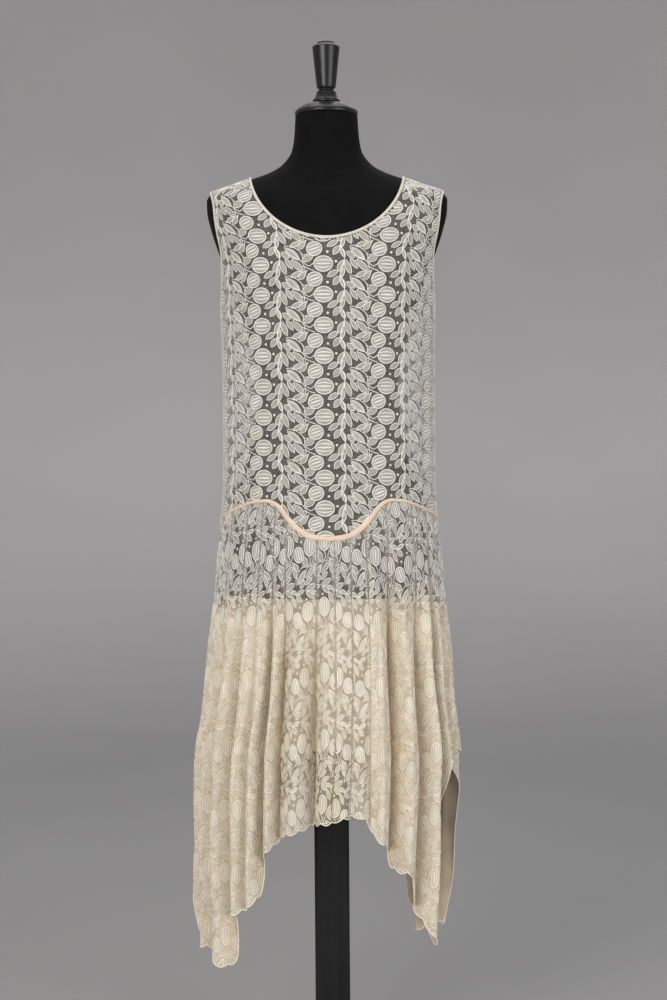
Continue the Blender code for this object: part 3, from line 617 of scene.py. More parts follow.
def bodice_layers(angle, height, centre):
    """How many layers of net lie over each other: more at the seams and where a side fold doubles it."""
    off = np.abs(angle - centre)
    shares = (
        bell((off - SIDE_FOLD_AT) / SIDE_FOLD_WIDTH) * smooth_step((SIDE_FOLD_TOP - height) / 0.05),
        bell((90 - off) / SEAM_WIDTH),
        smooth_step((height - SHOULDER_FROM) / 0.012),
        smooth_step((off - ROUND_FROM) / ROUND_RUN),
    )
    return sum((most * share for most, share in zip(BODICE_LAYERS, shares)), 1)


def bodice_net(panel, material):
    """Half of the bodice's net: below the neckline it is whole, above it are two straps."""
    neck_bottom = NECK_POINT - panel.neck_depth
    shares = np.linspace(0, 1, BODICE_COLUMNS + 1)

    def half(heights, side):
        """heights is rows x columns, from the inner edge to the outer edge."""
        low = neckline_angle(heights, panel.neck_depth)
        high = np.minimum(armhole_angle(heights, panel.scoop), side_limit(heights))
        return panel.centre + side * (low + (high - low) * shares)

    rising = np.linspace(0, 1, SEAM_ROWS + 1)[:, None]
    edge = seam_height(shares * side_limit(SIDE_SEAM_FOOT)) + HIP_GAP / 2
    seam_rows = edge[None] * (1 - rising) + UNDERARM * rising
    above = np.arange(UNDERARM + 0.001, neck_bottom, ROW_APART)
    level = np.concatenate([UNDERARM + np.array([0.0006, 0.0018, 0.0032]), above[1:], [neck_bottom]])
    lower = np.vstack([seam_rows, np.repeat(level[:, None], BODICE_COLUMNS + 1, axis=1)])
    turn = np.linspace(0, np.pi / 2, 19)[1:-1]
    scooped = neck_bottom + (STRAP_FOOT - neck_bottom) * (1 - np.cos(turn))
    upper = np.concatenate([[neck_bottom], scooped, np.arange(STRAP_FOOT, TOP_ROW, 0.003), [TOP_ROW]])
    upper = np.repeat(upper[:, None], BODICE_COLUMNS + 1, axis=1)

    def block(angles, heights):
        across, up = bodice_flat(angles, heights, panel.centre)
        layers = bodice_layers(angles, heights, panel.centre)
        return bodice_point(angles, heights), np.stack([across, up, layers], axis=-1)

    both = np.hstack([half(lower, -1)[:, :0:-1], half(lower, 1)])
    return grid_piece(panel.name + "_net", material, [
        block(both, np.hstack([lower[:, :0:-1], lower])),
        block(half(upper, -1)[:, ::-1], upper),
        block(half(upper, 1), upper),
    ])


def ribbon(points, width, closed=False):
    """A raised thread along flat points, in millimetres: (x, y, lift) rows of three and their quads."""
    points = np.asarray(points, float)
    if closed:
        ends = np.vstack([points[-1:], points, points[:1]])
        along = ends[2:] - ends[:-2]
        points, along = closed_up(points), closed_up(along)
    else:
        along = np.gradient(points, axis=0)
    along = along / np.maximum(np.linalg.norm(along, axis=1, keepdims=True), 1e-9)
    across = np.stack([-along[:, 1], along[:, 0]], axis=1)
    rows = []
    for side, rise in ((-0.5, 0.0), (0.0, THREAD_LIFT), (0.5, 0.0)):
        place = points + across * np.broadcast_to(width, len(points))[:, None] * side
        rows.append(np.column_stack([place, np.full(len(place), FILL_LIFT + rise)]))
    return flat_quads(np.stack(rows))


def flat_quads(rows):
    """Quads between rows of flat points, rows x columns x 3."""
    return rows.reshape(-1, 3), quads_between(*rows.shape[:2])


def filled(one, other, rows):
    """A fill between two flat lines of points."""
    share = np.linspace(0, 1, rows + 1)[:, None, None]
    place = one[None] * (1 - share) + other[None] * share
    return flat_quads(np.concatenate([place, np.full(place.shape[:2] + (1,), FILL_LIFT)], axis=2))


def flower_parts(flower):
    """A round flower: a fill, its ring, and ribs that run from pole to pole."""
    turn = math.radians(flower.tilt)
    spin = np.array([[math.cos(turn), math.sin(turn)], [-math.sin(turn), math.cos(turn)]])
    middle = np.array([flower.x, flower.y])

    def arc(share, reach=0.97, count=7):
        x = np.linspace(-reach, reach, count)
        y = share * np.sqrt(1 - x**2)
        return np.stack([x * flower.half_width, y * flower.half_height], axis=1) @ spin + middle

    ring = (circle(22) * (flower.half_width, flower.half_height) * FLOWER_OUTLINE) @ spin + middle
    fills = [filled(arc(-FLOWER_FILL, FLOWER_FILL), arc(FLOWER_FILL, FLOWER_FILL), 4)]
    threads = [ribbon(ring, RING_WIDTH, closed=True)]
    taper = np.sin(np.linspace(0.12, 0.88, 7) * np.pi) ** 0.6
    threads += [ribbon(arc(share, RIB_REACH), width * taper) for share, width in RIBS]
    return threads, fills


def leaf_parts(leaf):
    """A pointed leaf: a fill and its outline, and a second outline inside a large one."""
    base, tip = np.array([leaf.x, leaf.y]), np.array([leaf.tip_x, leaf.tip_y])
    along = tip - base
    length = np.linalg.norm(along)
    along = along / length
    across = np.array([-along[1], along[0]])
    steps = max(5, round(length / LEAF_STEP))
    share = np.linspace(0, 1, steps + 1)
    warped = share ** (math.log(0.5) / math.log(leaf.fullest))
    profile = LEAF_FULLNESS * leaf.half_width * np.sin(np.pi * warped) ** LEAF_ROUNDNESS

    def side(sign, scale):
        shrunk = 0.5 + (share - 0.5) * (0.5 + scale / 2)
        return base + along * (shrunk * length)[:, None] + across * (profile * sign * scale)[:, None]

    def around(scale):
        return np.vstack([side(-1, scale), side(1, scale)[-2:0:-1]])

    fills = [filled(side(-1, LEAF_FILL), side(1, LEAF_FILL), 2)]
    threads = [ribbon(around(LEAF_OUTLINE), OUTLINE_WIDTH, closed=True)]
    if leaf.inner:
        threads.append(ribbon(around(leaf.inner), OUTLINE_WIDTH * 0.8, closed=True))
    return threads, fills


def chart(stem):
    """One repeat of the lace as two sets of flat quads: its threads, perhaps with a stem, and its fills."""
    threads, fills = [], []
    for parts in [flower_parts(flower) for flower in FLOWERS] + [leaf_parts(leaf) for leaf in LEAVES]:
        threads += parts[0]
        fills += parts[1]
    for dot in DOTS:
        ring = circle(6) * dot.radius * 0.6 + (dot.x, dot.y)
        threads.append(ribbon(ring, dot.radius * 0.9, closed=True))
    for stalk in STALKS:
        threads.append(ribbon(rounded_line(stalk.points), stalk.width))
    if stem:
        y = np.linspace(0, CHART_HEIGHT, 15)
        x = STEM_X + STEM_SWING * np.cos(2 * np.pi * (y + STEM_PHASE) / CHART_HEIGHT)
        threads.append(ribbon(np.stack([x, y], axis=1), STEM_WIDTH))
    return gathered_quads(threads), gathered_quads(fills)


def rounded_line(points):
    """A smooth line through a few flat points."""
    points = np.asarray(points, float)
    knots = arc_lengths(points)
    fine = np.linspace(0, knots[-1], 2 * len(points) - 1)
    slopes = np.gradient(points, knots, axis=0)
    i = np.clip(np.searchsorted(knots, fine, side="right") - 1, 0, len(knots) - 2)
    width = (knots[i + 1] - knots[i])[:, None]
    return hermite((fine - knots[i])[:, None] / width, width, (points[i], points[i + 1]),
                   (slopes[i], slopes[i + 1]))


def gathered_quads(parts):
    points, faces, count = [], [], 0
    for place, quads in parts:
        points.append(place)
        faces.append(quads + count)
        count += len(place)
    return np.concatenate(points), np.concatenate(faces)


def laid(one, across, along, step, start=0.0):
    """The chart's quads, repeated over a stretch of flat cloth that is given as its low and high ends both
    ways, with their flat places in metres and their lifts."""
    points, faces = one
    low, high = across[0] - start, across[1] - start
    columns = np.arange(math.floor(low / step[0]) - 1, math.ceil(high / step[0]) + 2)
    rows = np.arange(math.floor(along[0] / step[1]) - 1, math.ceil(along[1] / step[1]) + 2)
    offsets = np.array([(start + column * step[0], row * step[1]) for column in columns for row in rows])
    place = points[:, :2] * (step[0] / CHART_WIDTH, step[1] / CHART_HEIGHT)
    flat = (offsets[:, None] + place[None]).reshape(-1, 2)
    lift = np.tile(points[:, 2] * MILLIMETRE, len(offsets))
    index = (np.arange(len(offsets)) * len(points))[:, None, None] + faces[None]
    return flat, lift, index.reshape(-1, 4)


EDGE_MARGIN = 0.0012  # how far a cut motif may run past a bound edge
HEM_MARGIN = 0.0002  # and past the hem
PAST_SKIRT = 0.02  # how far above and below the skirt its repeats are laid before they are cut


def bodice_lace(panel, one, name, material):
    """The lace's threads or fills on a panel of the bodice, cut off at its edges."""
    reach = ROUND_TO[-1]
    flat, lift, faces = laid(one, (-reach, reach), (-UP_TO[-1], -UP_TO[0]), BODICE_REPEAT,
                             BODICE_FLOWER_OFFSET)
    up = -flat[:, 1]
    angle = bodice_angle(flat[:, 0], panel.centre)
    height = np.interp(up, UP_TO, HEIGHTS)
    off = np.abs(angle - panel.centre)
    margin = EDGE_MARGIN / (np.radians(1) * CLOTH["half_width"](height))
    neck_bottom = NECK_POINT - panel.neck_depth
    neckline = neckline_angle(np.maximum(height, neck_bottom), panel.neck_depth)
    inside = (np.abs(flat[:, 0]) < reach) & (up > UP_TO[0]) & (up < UP_TO[-1])
    inside &= off < np.minimum(armhole_angle(height, panel.scoop), side_limit(height)) + margin
    inside &= (height < neck_bottom + EDGE_MARGIN) | (off > neckline - margin)
    inside &= (height > seam_height(angle) - EDGE_MARGIN) & (height < TOP_ROW)
    used, index = np.unique(faces[inside[faces].all(axis=1)], return_inverse=True)
    angle, height = angle[used], height[used]
    points = bodice_point(angle, height) + outward(angle, height) * lift[used][:, None]
    return mesh_piece(name, points, index.reshape(-1, 4), material, flat[used])


FLUTE_COLUMNS = 20  # faces across a flute
SKIRT_ROWS = 96
GRID_LOW = 0.19
GRID_HIGH = 0.97
GRID_APART = 0.005
GRID_HEIGHTS = np.arange(GRID_LOW, GRID_HIGH + GRID_APART / 2, GRID_APART)
TUCK_DEPTH = 0.0026  # the tucks that hold the skirt's spare cloth at the seam
TUCK_WIDTH = 0.11  # of a flute
TUCK_FALL = 0.10
RIPPLE_DEPTH = 0.0016
RIPPLES = [(2.4, 3, 1), (1.3, -5, 2)]  # each one's waves across a flute and up a metre, and its phases
SIDE_LAYERS = 8.5  # the layers of net that lie over each other in the flutes at the sides
MIDDLE_SHARE = 0.15  # of them in the middle flutes
SIDE_FROM, SIDE_RUN = 12, 14  # degrees from the centre
FOLDED_BELOW, FOLDED_RUN = 0.80, 0.05
TUCKED_ABOVE, TUCKED_RUN = 0.74, 0.12
TUCKED_WIDTH = 0.2  # of a flute
TUCK_LAYERS, SEAM_LAYERS, SEAM_FALL = 2.0, 1.5, 0.012
FULL_FURROW = 0.026  # the depth at which a furrow takes its whole painted shade
LEAN = 0.16  # how far a flute's crest may lean to one side
WANDER = 0.9  # degrees that a furrow may stray from the vertical, below STRAY_FROM
STRAY_FROM, STRAY_RUN = 0.80, 0.35
STRAY_UP, STRAY_ROUND = 9, 0.7  # its waves, in radians up a metre and round a degree
SEED = 7
PATTERN_DROP_RIGHT = 0.016  # how much lower the lace hangs over the wearer's right hip than at the centre
PATTERN_DROP_LEFT = 0.036
PATTERN_DROP_TO = 36  # degrees from the centre
PATTERN_STRAY = 0.007  # how far a flute's lace may hang higher or lower than its neighbours'


class Flute:
    """The cloth between two furrows, from the hip seam to the hem."""

    def __init__(self, left, right, own):
        self.left, self.right = left, right
        self.middle = (left.angle + right.angle) / 2
        self.lean, self.phase = own[0] * LEAN, own[1] * 2 * np.pi
        most = PATTERN_DROP_LEFT if 0 < self.middle < 180 else PATTERN_DROP_RIGHT
        share = float(smooth_step(from_centre(self.middle) / PATTERN_DROP_TO))
        self.drop = most * share + own[2] * PATTERN_STRAY
        self.measure()

    def straight_angle(self, share):
        """The angle at a share of the way from furrow to furrow, before the furrows stray."""
        return self.left.angle + (self.right.angle - self.left.angle) * share

    def angle(self, share, height):
        """The angle where the furrows stray from the vertical, all but those at the side seams."""
        fade = smooth_step((STRAY_FROM - height) / STRAY_RUN)
        swing, other = (
            WANDER * np.sin(height * STRAY_UP + furrow.angle * STRAY_ROUND)
            * (abs(furrow.angle % 180 - 90) > 1)
            for furrow in (self.left, self.right)
        )
        return self.straight_angle(share) + fade * (swing * (1 - share) + other * share)

    def point(self, share, height):
        """Points of the outer face, by their share of the way from furrow to furrow and their height."""
        share, height = np.broadcast_arrays(np.asarray(share, float), np.asarray(height, float))
        angle = self.angle(share, height)
        leant = share + self.lean * np.sin(np.pi * share) ** 2 * np.cos(np.pi * share * 0.5)
        wave = np.abs(np.sin(np.pi * np.clip(leant, 0, 1)))
        crest = wave**FURROW_ROUNDNESS
        near_left = np.clip(1 - share * 2, 0, 1)
        near_right = np.clip(share * 2 - 1, 0, 1)
        deep = np.where(share < 0.5, *(
            furrow.depth * smooth_step((furrow.start - height) / FURROW_RUN)
            for furrow in (self.left, self.right)
        ))
        below = np.maximum(0, seam_height(angle) - height)
        tucked = TUCK_DEPTH * np.exp(-below / TUCK_FALL) * smooth_step(below / 0.012)
        tuck = tucked * at_ends(share, TUCK_WIDTH)
        beside, middle = (
            np.sin(2 * np.pi * (across * share + up * height) + phases * self.phase)
            for across, up, phases in RIPPLES
        )
        ripple = beside * (near_left + near_right) * 0.5 + middle * wave
        fade = smooth_step(below / 0.05) * wave
        return cloth_point(angle, height, -deep * (1 - crest) - tuck - RIPPLE_DEPTH * ripple * fade)

    def measure(self):
        """Reads the cloth's width across the flute at each height, both ways from the crest."""
        shares = np.linspace(0, 1, 2 * FLUTE_COLUMNS + 1)
        self.places = self.point(shares[:, None], GRID_HEIGHTS[None])
        across = np.gradient(self.places, axis=0)
        up = np.gradient(self.places, axis=1)
        self.normals = normalised(np.cross(across, up))
        steps = np.linalg.norm(np.diff(self.places, axis=0), axis=-1)
        lengths = np.vstack([np.zeros((1, len(GRID_HEIGHTS))), np.cumsum(steps, axis=0)])
        self.lengths = lengths - lengths[FLUTE_COLUMNS]
        self.widest = self.lengths[-1].max() - self.lengths[0].min()

    def flat(self, share, height):
        """How far points lie from the crest on the flat cloth."""
        return read_grid(self.lengths[..., None], share * 2 * FLUTE_COLUMNS, grid_row(height))[..., 0]

    def on_cloth(self, across, height):
        """Grid places of points that lie a flat distance from the crest, and which of them show."""
        row = grid_row(height)
        reach = max(-self.lengths[0].min(), self.lengths[-1].max())
        steps = np.linspace(-reach, reach, 121)
        columns = np.stack([
            np.interp(steps, self.lengths[:, k], np.arange(2 * FLUTE_COLUMNS + 1), left=-1, right=-1)
            for k in range(len(GRID_HEIGHTS))
        ], axis=1)
        spot = np.clip((across + reach) / (steps[1] - steps[0]), 0, len(steps) - 1.001)
        i, j = spot.astype(int), row.astype(int)
        corners = (columns[i, j], columns[i + 1, j], columns[i, j + 1], columns[i + 1, j + 1])
        column = read_grid(columns[..., None], spot, row)[..., 0]
        shows = (np.minimum.reduce(corners) >= 0) & (np.abs(across) < reach)
        return column, row, shows


def grid_row(height):
    return np.clip((height - GRID_LOW) / GRID_APART, 0, len(GRID_HEIGHTS) - 1.001)


def read_grid(grid, column, row):
    """Values between a grid's points."""
    column = np.clip(column, 0, grid.shape[0] - 1.0001)
    row = np.clip(row, 0, grid.shape[1] - 1.0001)
    i, j = column.astype(int), row.astype(int)
    s, t = (column - i)[..., None], (row - j)[..., None]
    return (
        grid[i, j] * (1 - s) * (1 - t)
        + grid[i + 1, j] * s * (1 - t)
        + grid[i, j + 1] * (1 - s) * t
        + grid[i + 1, j + 1] * s * t
    )


def flutes_of(furrows):
    """The flutes of a panel, each with the place of its crest on the flat cloth."""
    shift = np.degrees(SEAM_GAP / 2 / float(CLOTH["front"](FORM_BOTTOM)))
    first = furrows[0]._replace(angle=furrows[0].angle + shift)
    last = furrows[-1]._replace(angle=furrows[-1].angle - shift)
    edges = [first] + furrows[1:-1] + [last]
    own = np.random.default_rng(SEED + len(furrows)).uniform(-1, 1, (len(edges), 3))
    flutes = [Flute(left, right, own[k]) for k, (left, right) in enumerate(zip(edges, edges[1:]))]
    place = 0.0
    for flute in flutes:
        flute.crest = place - flute.lengths[0].min()
        place += flute.widest
    for flute in flutes:
        flute.crest -= place / 2
    return flutes


def hem_height(flute, share):
    """The hem's height: nearly level round a crest, with a step at each furrow, in scallops."""
    angle = flute.straight_angle(share + HEM_STEP * np.sin(2 * np.pi * share) / (2 * np.pi))
    height = HEM_AT(folded_angle(angle) if flute.left.angle < 269 else angle)
    place = flute.crest + flute.flat(share, height)
    return height - SCALLOP_DEPTH * np.abs(np.sin(np.pi * place / SCALLOP_WIDTH))


def skirt_top(angle):
    return seam_height(angle) - HIP_GAP / 2


def skirt_layers(flute, share, height, top):
    """How many layers of net lie over each other: more in the tucks and in the side flutes."""
    side = smooth_step((from_centre(flute.middle) - SIDE_FROM) / SIDE_RUN)
    folded = (MIDDLE_SHARE + (1 - MIDDLE_SHARE) * side) * smooth_step((FOLDED_BELOW - height) / FOLDED_RUN)
    tucks = TUCK_LAYERS * at_ends(share, TUCKED_WIDTH) * smooth_step((height - TUCKED_ABOVE) / TUCKED_RUN)
    return 1 + tucks + SEAM_LAYERS * np.exp(-(top - height) / SEAM_FALL) + SIDE_LAYERS * folded


def painted_furrow_shade(flute, share, height):
    """How much painted shade points take in a furrow, by how deep in it they lie: 0 on a crest, 1 at the bottom of a
    full furrow.
    """
    low = 1 - np.abs(np.sin(np.pi * np.clip(share, 0, 1))) ** 0.9
    start = np.where(share < 0.5, flute.left.start, flute.right.start)
    depth = np.where(share < 0.5, flute.left.depth, flute.right.depth)
    return low * smooth_step((start - height) / FURROW_RUN * 1.3) * np.minimum(1, depth / FULL_FURROW)


def skirt_net(name, flutes, material):
    """Half of the skirt's net, from the hip seam to the scalloped hem."""
    blocks = []
    level = np.linspace(0, 1, SKIRT_ROWS + 1)[:, None]
    shares = np.linspace(0, 1, FLUTE_COLUMNS + 1)[None]
    for flute in flutes:
        top = skirt_top(flute.straight_angle(shares))
        height = top * (1 - level) + hem_height(flute, shares) * level
        share = np.broadcast_to(shares, height.shape)
        across = flute.crest + flute.flat(share, height)
        layers = skirt_layers(flute, share, height, top)
        values = np.stack([across, height, layers, painted_furrow_shade(flute, share, height)], axis=-1)
        blocks.append((flute.point(share, height)[:, ::-1], values[:, ::-1]))
    return grid_piece(name + "_net", material, blocks)


def skirt_lace(flutes, one, name, material):
    """The lace's threads or fills on the skirt, turned a quarter, cut off at its furrows and its hem."""
    points, flats, faces, count = [], [], [], 0
    for flute in flutes:
        across = (flute.crest + flute.lengths[0].min(), flute.crest + flute.lengths[-1].max())
        lowest = float(min(HEM_AT(angle) for angle in (flute.left.angle, flute.right.angle, flute.middle)))
        flower = SKIRT_FLOWER_HEIGHT - flute.drop
        down = (lowest - PAST_SKIRT - flower, float(seam_height(flute.middle)) + PAST_SKIRT - flower)
        flat, lift, quads = laid(one, down, across, SKIRT_REPEAT)
        height = flower + flat[:, 0]
        column, row, shows = flute.on_cloth(flat[:, 1] - flute.crest, height)
        share = column / (2 * FLUTE_COLUMNS)
        shows &= height > hem_height(flute, np.clip(share, 0, 1)) - HEM_MARGIN
        shows &= height < skirt_top(flute.angle(share, height)) + EDGE_MARGIN
        quads = quads[shows[quads].all(axis=1)]
        if not len(quads):
            continue
        used, index = np.unique(quads, return_inverse=True)
        column, row = column[used], row[used]
        normal = read_grid(flute.normals, column, row)
        points.append(read_grid(flute.places, column, row) + normal * lift[used][:, None])
        # deep is how much painted shade each point takes in a furrow
        deep = painted_furrow_shade(flute, share[used], height[used])
        flats.append(np.column_stack([flat[used][:, ::-1], np.ones(len(used)), deep]))
        faces.append(index.reshape(-1, 4) + count)
        count += len(used)
    return mesh_piece(name, np.concatenate(points), np.concatenate(faces), material, np.concatenate(flats))


HEM_CORD_RADIUS = 0.0009
HEM_CORD_LIFT = 0.0003


def hem_cord(flutes, name, material):
    """The whipped edge along the hem's scallops."""
    blocks = []
    share = np.linspace(0, 1, 49)
    for flute in flutes:
        place = (share * 2 * FLUTE_COLUMNS, (hem_height(flute, share) - GRID_LOW) / GRID_APART)
        centres, outs = read_grid(flute.places, *place), read_grid(flute.normals, *place)
        blocks.append(tube_rows(centres + outs * HEM_CORD_LIFT, outs, HEM_CORD_RADIUS, HEM_CORD_RADIUS))
    return grid_piece(name, material, blocks)


class Look:
    """A procedural material in the making. values go to its shader's own sockets."""

    def __init__(self, name, **values):
        self.material = bpy.data.materials.new(name)
        self.material.use_nodes = True
        self.nodes, self.links = self.material.node_tree.nodes, self.material.node_tree.links
        self.shader = self.nodes["Principled BSDF"]
        self.feed(self.shader, {key.replace("_", " "): value for key, value in values.items()})

    def feed(self, node, inputs):
        """Joins a node's inputs to other nodes' outputs, or sets their values."""
        for key, value in inputs.items():
            if isinstance(value, bpy.types.NodeSocket):
                self.links.new(value, node.inputs[key])
            else:
                node.inputs[key].default_value = value

    def add(self, kind, output, inputs, **settings):
        node = self.nodes.new("ShaderNode" + kind)
        for key, value in settings.items():
            setattr(node, key, value)
        self.feed(node, inputs)
        return node.outputs[output]

    def attribute(self, name, output="Fac"):
        return self.add("Attribute", output, {}, attribute_name=name)

    def flat_place(self):
        return self.attribute("flat_place", "Vector")

    def solid_place(self):
        return self.add("TexCoord", "Object", {})

    def scaled(self, vector, scale):
        return self.add("Mapping", 0, {"Vector": vector, "Scale": scale})

    def calculated(self, operation, *values):
        return self.add("Math", 0, dict(enumerate(values)), operation=operation)

    def ranged(self, value, low, high):
        """A value as 0 to 1 between two others, with soft ends."""
        return self.add("MapRange", "Result", {"Value": value, "From Min": low, "From Max": high},
                        interpolation_type="SMOOTHSTEP")

    def noise(self, vector, scale, **inputs):
        return self.add("TexNoise", "Fac", {"Vector": vector, "Scale": scale, **inputs})

    def bands(self, vector, direction, scale, distortion, **inputs):
        inputs = {"Vector": vector, "Scale": scale, "Distortion": distortion, **inputs}
        return self.add("TexWave", "Fac", inputs, wave_type="BANDS", bands_direction=direction)

    def mixed(self, factor, first, second, blend_type="MIX"):
        return self.add("Mix", "Result", {"Factor": factor, "A": first, "B": second},
                        data_type="RGBA", blend_type=blend_type)

    def mottled(self, vector, scale, dark, light, detail=3.0):
        """A colour that varies softly between two."""
        ramp = self.nodes.new("ShaderNodeValToRGB")
        for stop, position, colour in zip(ramp.color_ramp.elements, MOTTLE_BAND, (dark, light)):
            stop.position, stop.color = position, (*colour, 1)
        self.feed(ramp, {"Fac": self.noise(vector, scale, Detail=detail)})
        return ramp.outputs["Color"]

    def low_down(self):
        """0 on the bodice and the top of the skirt, 1 lower down. It masks the painted light from the beige underskirt
        and the skirt's closer fills.
        """
        height = self.add("SeparateXYZ", "Z", {0: self.solid_place()})
        return self.ranged(height, WARM_FROM, WARM_TO)

    def with_painted_light_and_shade(self, colour, warm):
        """A colour with painted light and shade: painted light from the beige underskirt makes it warmer down the
        skirt, and painted shade makes it deeper in its furrows.
        """
        lower = self.mixed(self.low_down(), colour, (*warm, 1), "MULTIPLY")
        return self.mixed(self.attribute("furrow"), lower, (*FURROW_SHADE, 1), "MULTIPLY")

    def painted(self, colour, **inputs):
        self.feed(self.shader, {"Base Color": colour, **inputs})
        return self.material

    def bumped(self, height, strength, distance):
        normal = self.add("Bump", "Normal", {"Height": height, "Strength": strength, "Distance": distance})
        self.feed(self.shader, {"Normal": normal})


MOTTLE_BAND = (0.32, 0.68)
NET_CELL = 0.0017
NET_IRREGULARITY = 0.55
NET_THREAD = 0.062  # half a net thread's width, as a share of its cell
NET_DARK, NET_LIGHT = (0.44, 0.405, 0.345), (0.54, 0.50, 0.43)
FILL_COVER = 0.64  # the share of a fill that its close threads cover on the bodice, and on the skirt
SKIRT_COVER = 0.90
FILL_CONTRAST = 0.3
LACE_DARK, LACE_LIGHT = (0.53, 0.51, 0.455), (0.65, 0.63, 0.57)
THREAD_DARK, THREAD_LIGHT = (0.69, 0.67, 0.61), (0.83, 0.815, 0.76)
NET_UNDERSKIRT_LIGHT = (1.24, 1.14, 0.99)  # painted light from the beige underskirt: what the skirt's lace is multiplied by between WARM_FROM and WARM_TO
# the same painted light from the underskirt, on the fills and on the threads
FILL_UNDERSKIRT_LIGHT = (1.17, 1.11, 1.00)
THREAD_UNDERSKIRT_LIGHT = (1.13, 1.08, 0.98)
FURROW_SHADE = (0.87, 0.79, 0.69)  # painted shade: what cloth at the bottom of a furrow is multiplied by
# where the painted light from the underskirt and the skirt's closer fills begin and where they are full
WARM_FROM, WARM_TO = 0.83, 0.77
BINDING_TONES = (0.62, 0.58, 0.46), (0.76, 0.72, 0.60)
PEACH_TONES = (0.71, 0.535, 0.385), (0.84, 0.67, 0.515)
SILK_TONES = (0.76, 0.66, 0.52), (0.84, 0.745, 0.61)
JERSEY_TONES = (0.0036, 0.0036, 0.0042), (0.0062, 0.0062, 0.0068)
LACQUER_TONES = (0.0045, 0.0043, 0.0045), (0.0100, 0.0095, 0.0093)
FLOOR_TONES = (0.330, 0.327, 0.327), (0.350, 0.347, 0.347)
BEND_TONES = (0.585, 0.573, 0.573), (0.615, 0.603, 0.603)
WALL_TONES = (0.535, 0.522, 0.522), (0.565, 0.552, 0.552)
FLOOR_ENDS, BEND_ENDS, WALL_STARTS = 2.6, 5.6, 7.6  # distances from the middle of the floor


def net_material():
    """The fine net: threads between small cells, which close where layers lie over each other."""
    look = Look("lace_net", Roughness=0.85, Sheen_Weight=0.25, Sheen_Roughness=0.5, Specular_IOR_Level=0.2)
    place = look.flat_place()
    # painted light from the beige underskirt lower down, and painted shade in the skirt's furrows
    colour = look.with_painted_light_and_shade(look.mottled(place, 30, NET_DARK, NET_LIGHT), NET_UNDERSKIRT_LIGHT)
    from_thread = look.add("TexVoronoi", "Distance",
                           {"Vector": place, "Scale": 1 / NET_CELL, "Randomness": NET_IRREGULARITY},
                           voronoi_dimensions="2D", feature="DISTANCE_TO_EDGE")
    width = look.calculated("MULTIPLY", look.attribute("layers"), NET_THREAD)
    return look.painted(colour, Alpha=look.calculated("LESS_THAN", from_thread, width))


def fill_material():
    """The close work inside a motif: rows of fine threads with a little light between them."""
    look = Look("lace_fill", Roughness=0.8, Sheen_Weight=0.3, Sheen_Roughness=0.5, Specular_IOR_Level=0.25)
    place = look.flat_place()
    # painted light from the beige underskirt lower down, and painted shade in the skirt's furrows
    colour = look.with_painted_light_and_shade(look.mottled(place, 60, LACE_DARK, LACE_LIGHT), FILL_UNDERSKIRT_LIGHT)
    rows = look.bands(place, "DIAGONAL", 260, 1.5)
    cover = look.calculated("MULTIPLY_ADD", rows, FILL_CONTRAST, FILL_COVER - FILL_CONTRAST / 2)
    closer = look.calculated("MULTIPLY_ADD", look.low_down(), SKIRT_COVER - FILL_COVER, cover)
    look.bumped(rows, 0.4, 0.0003)
    return look.painted(colour, Alpha=closer)


def thread_material():
    """The thick outline threads, twisted along their length."""
    look = Look("lace_thread", Roughness=0.62, Sheen_Weight=0.35, Sheen_Roughness=0.4,
                Specular_IOR_Level=0.35)
    place = look.flat_place()
    look.bumped(look.noise(place, 900), 0.5, 0.0003)
    # painted light from the beige underskirt lower down, and painted shade in the skirt's furrows
    return look.painted(look.with_painted_light_and_shade(look.mottled(place, 45, THREAD_DARK, THREAD_LIGHT), THREAD_UNDERSKIRT_LIGHT))


def tape_material(name, tones, roughness, ribs, sheen):
    """A woven tape or folded strip, with fine ribs across it."""
    look = Look(name, Roughness=roughness, Sheen_Weight=sheen, Sheen_Roughness=0.4)
    place = look.flat_place()
    look.bumped(look.bands(place, "X", ribs, 2.0), 0.45, 0.0004)
    return look.painted(look.mottled(place, 55, *tones))


def silk_material():
    """The plain underskirt: thin warm silk with faint uneven threads."""
    look = Look("plain_silk", Roughness=0.6, Sheen_Weight=0.3, Sheen_Roughness=0.5, Specular_IOR_Level=0.3)
    place = look.flat_place()
    look.bumped(look.noise(look.scaled(place, (1, 0.12, 1)), 240), 0.35, 0.0004)
    return look.painted(look.mottled(place, 24, *SILK_TONES))


def jersey_material():
    """Black stretched jersey over the form."""
    look = Look("black_jersey", Roughness=0.85, Sheen_Weight=0.02, Sheen_Roughness=0.45,
                Specular_IOR_Level=0.08)
    place = look.solid_place()
    look.bumped(look.bands(place, "Z", 420, 3.0, **{"Detail Scale": 2.5}), 0.3, 0.0004)
    return look.painted(look.mottled(place, 40, *JERSEY_TONES))


def wood_material():
    """Black lacquered wood: faint upright grain under a clear coat."""
    look = Look("black_lacquered_wood", Roughness=0.40, Coat_Weight=0.28, Coat_Roughness=0.14,
                Specular_IOR_Level=0.27)
    grain = look.scaled(look.solid_place(), (22, 22, 1.6))
    look.bumped(look.noise(grain, 9, Detail=6), 0.15, 0.0006)
    return look.painted(look.mottled(grain, 5, *LACQUER_TONES, 6))


def stage_material():
    """A plain paper floor that gets paler towards the wall."""
    look = Look("pale_floor", Roughness=0.9, Specular_IOR_Level=0.1)
    place = look.solid_place()
    all_tones = (FLOOR_TONES, BEND_TONES, WALL_TONES)
    floor, bend, wall = (look.mottled(place, 0.8, *tones) for tones in all_tones)
    away = look.add("VectorMath", "Value", {0: place}, operation="LENGTH")
    lower = look.mixed(look.ranged(away, FLOOR_ENDS, BEND_ENDS), floor, bend)
    return look.painted(look.mixed(look.ranged(away, BEND_ENDS, WALL_STARTS), lower, wall))


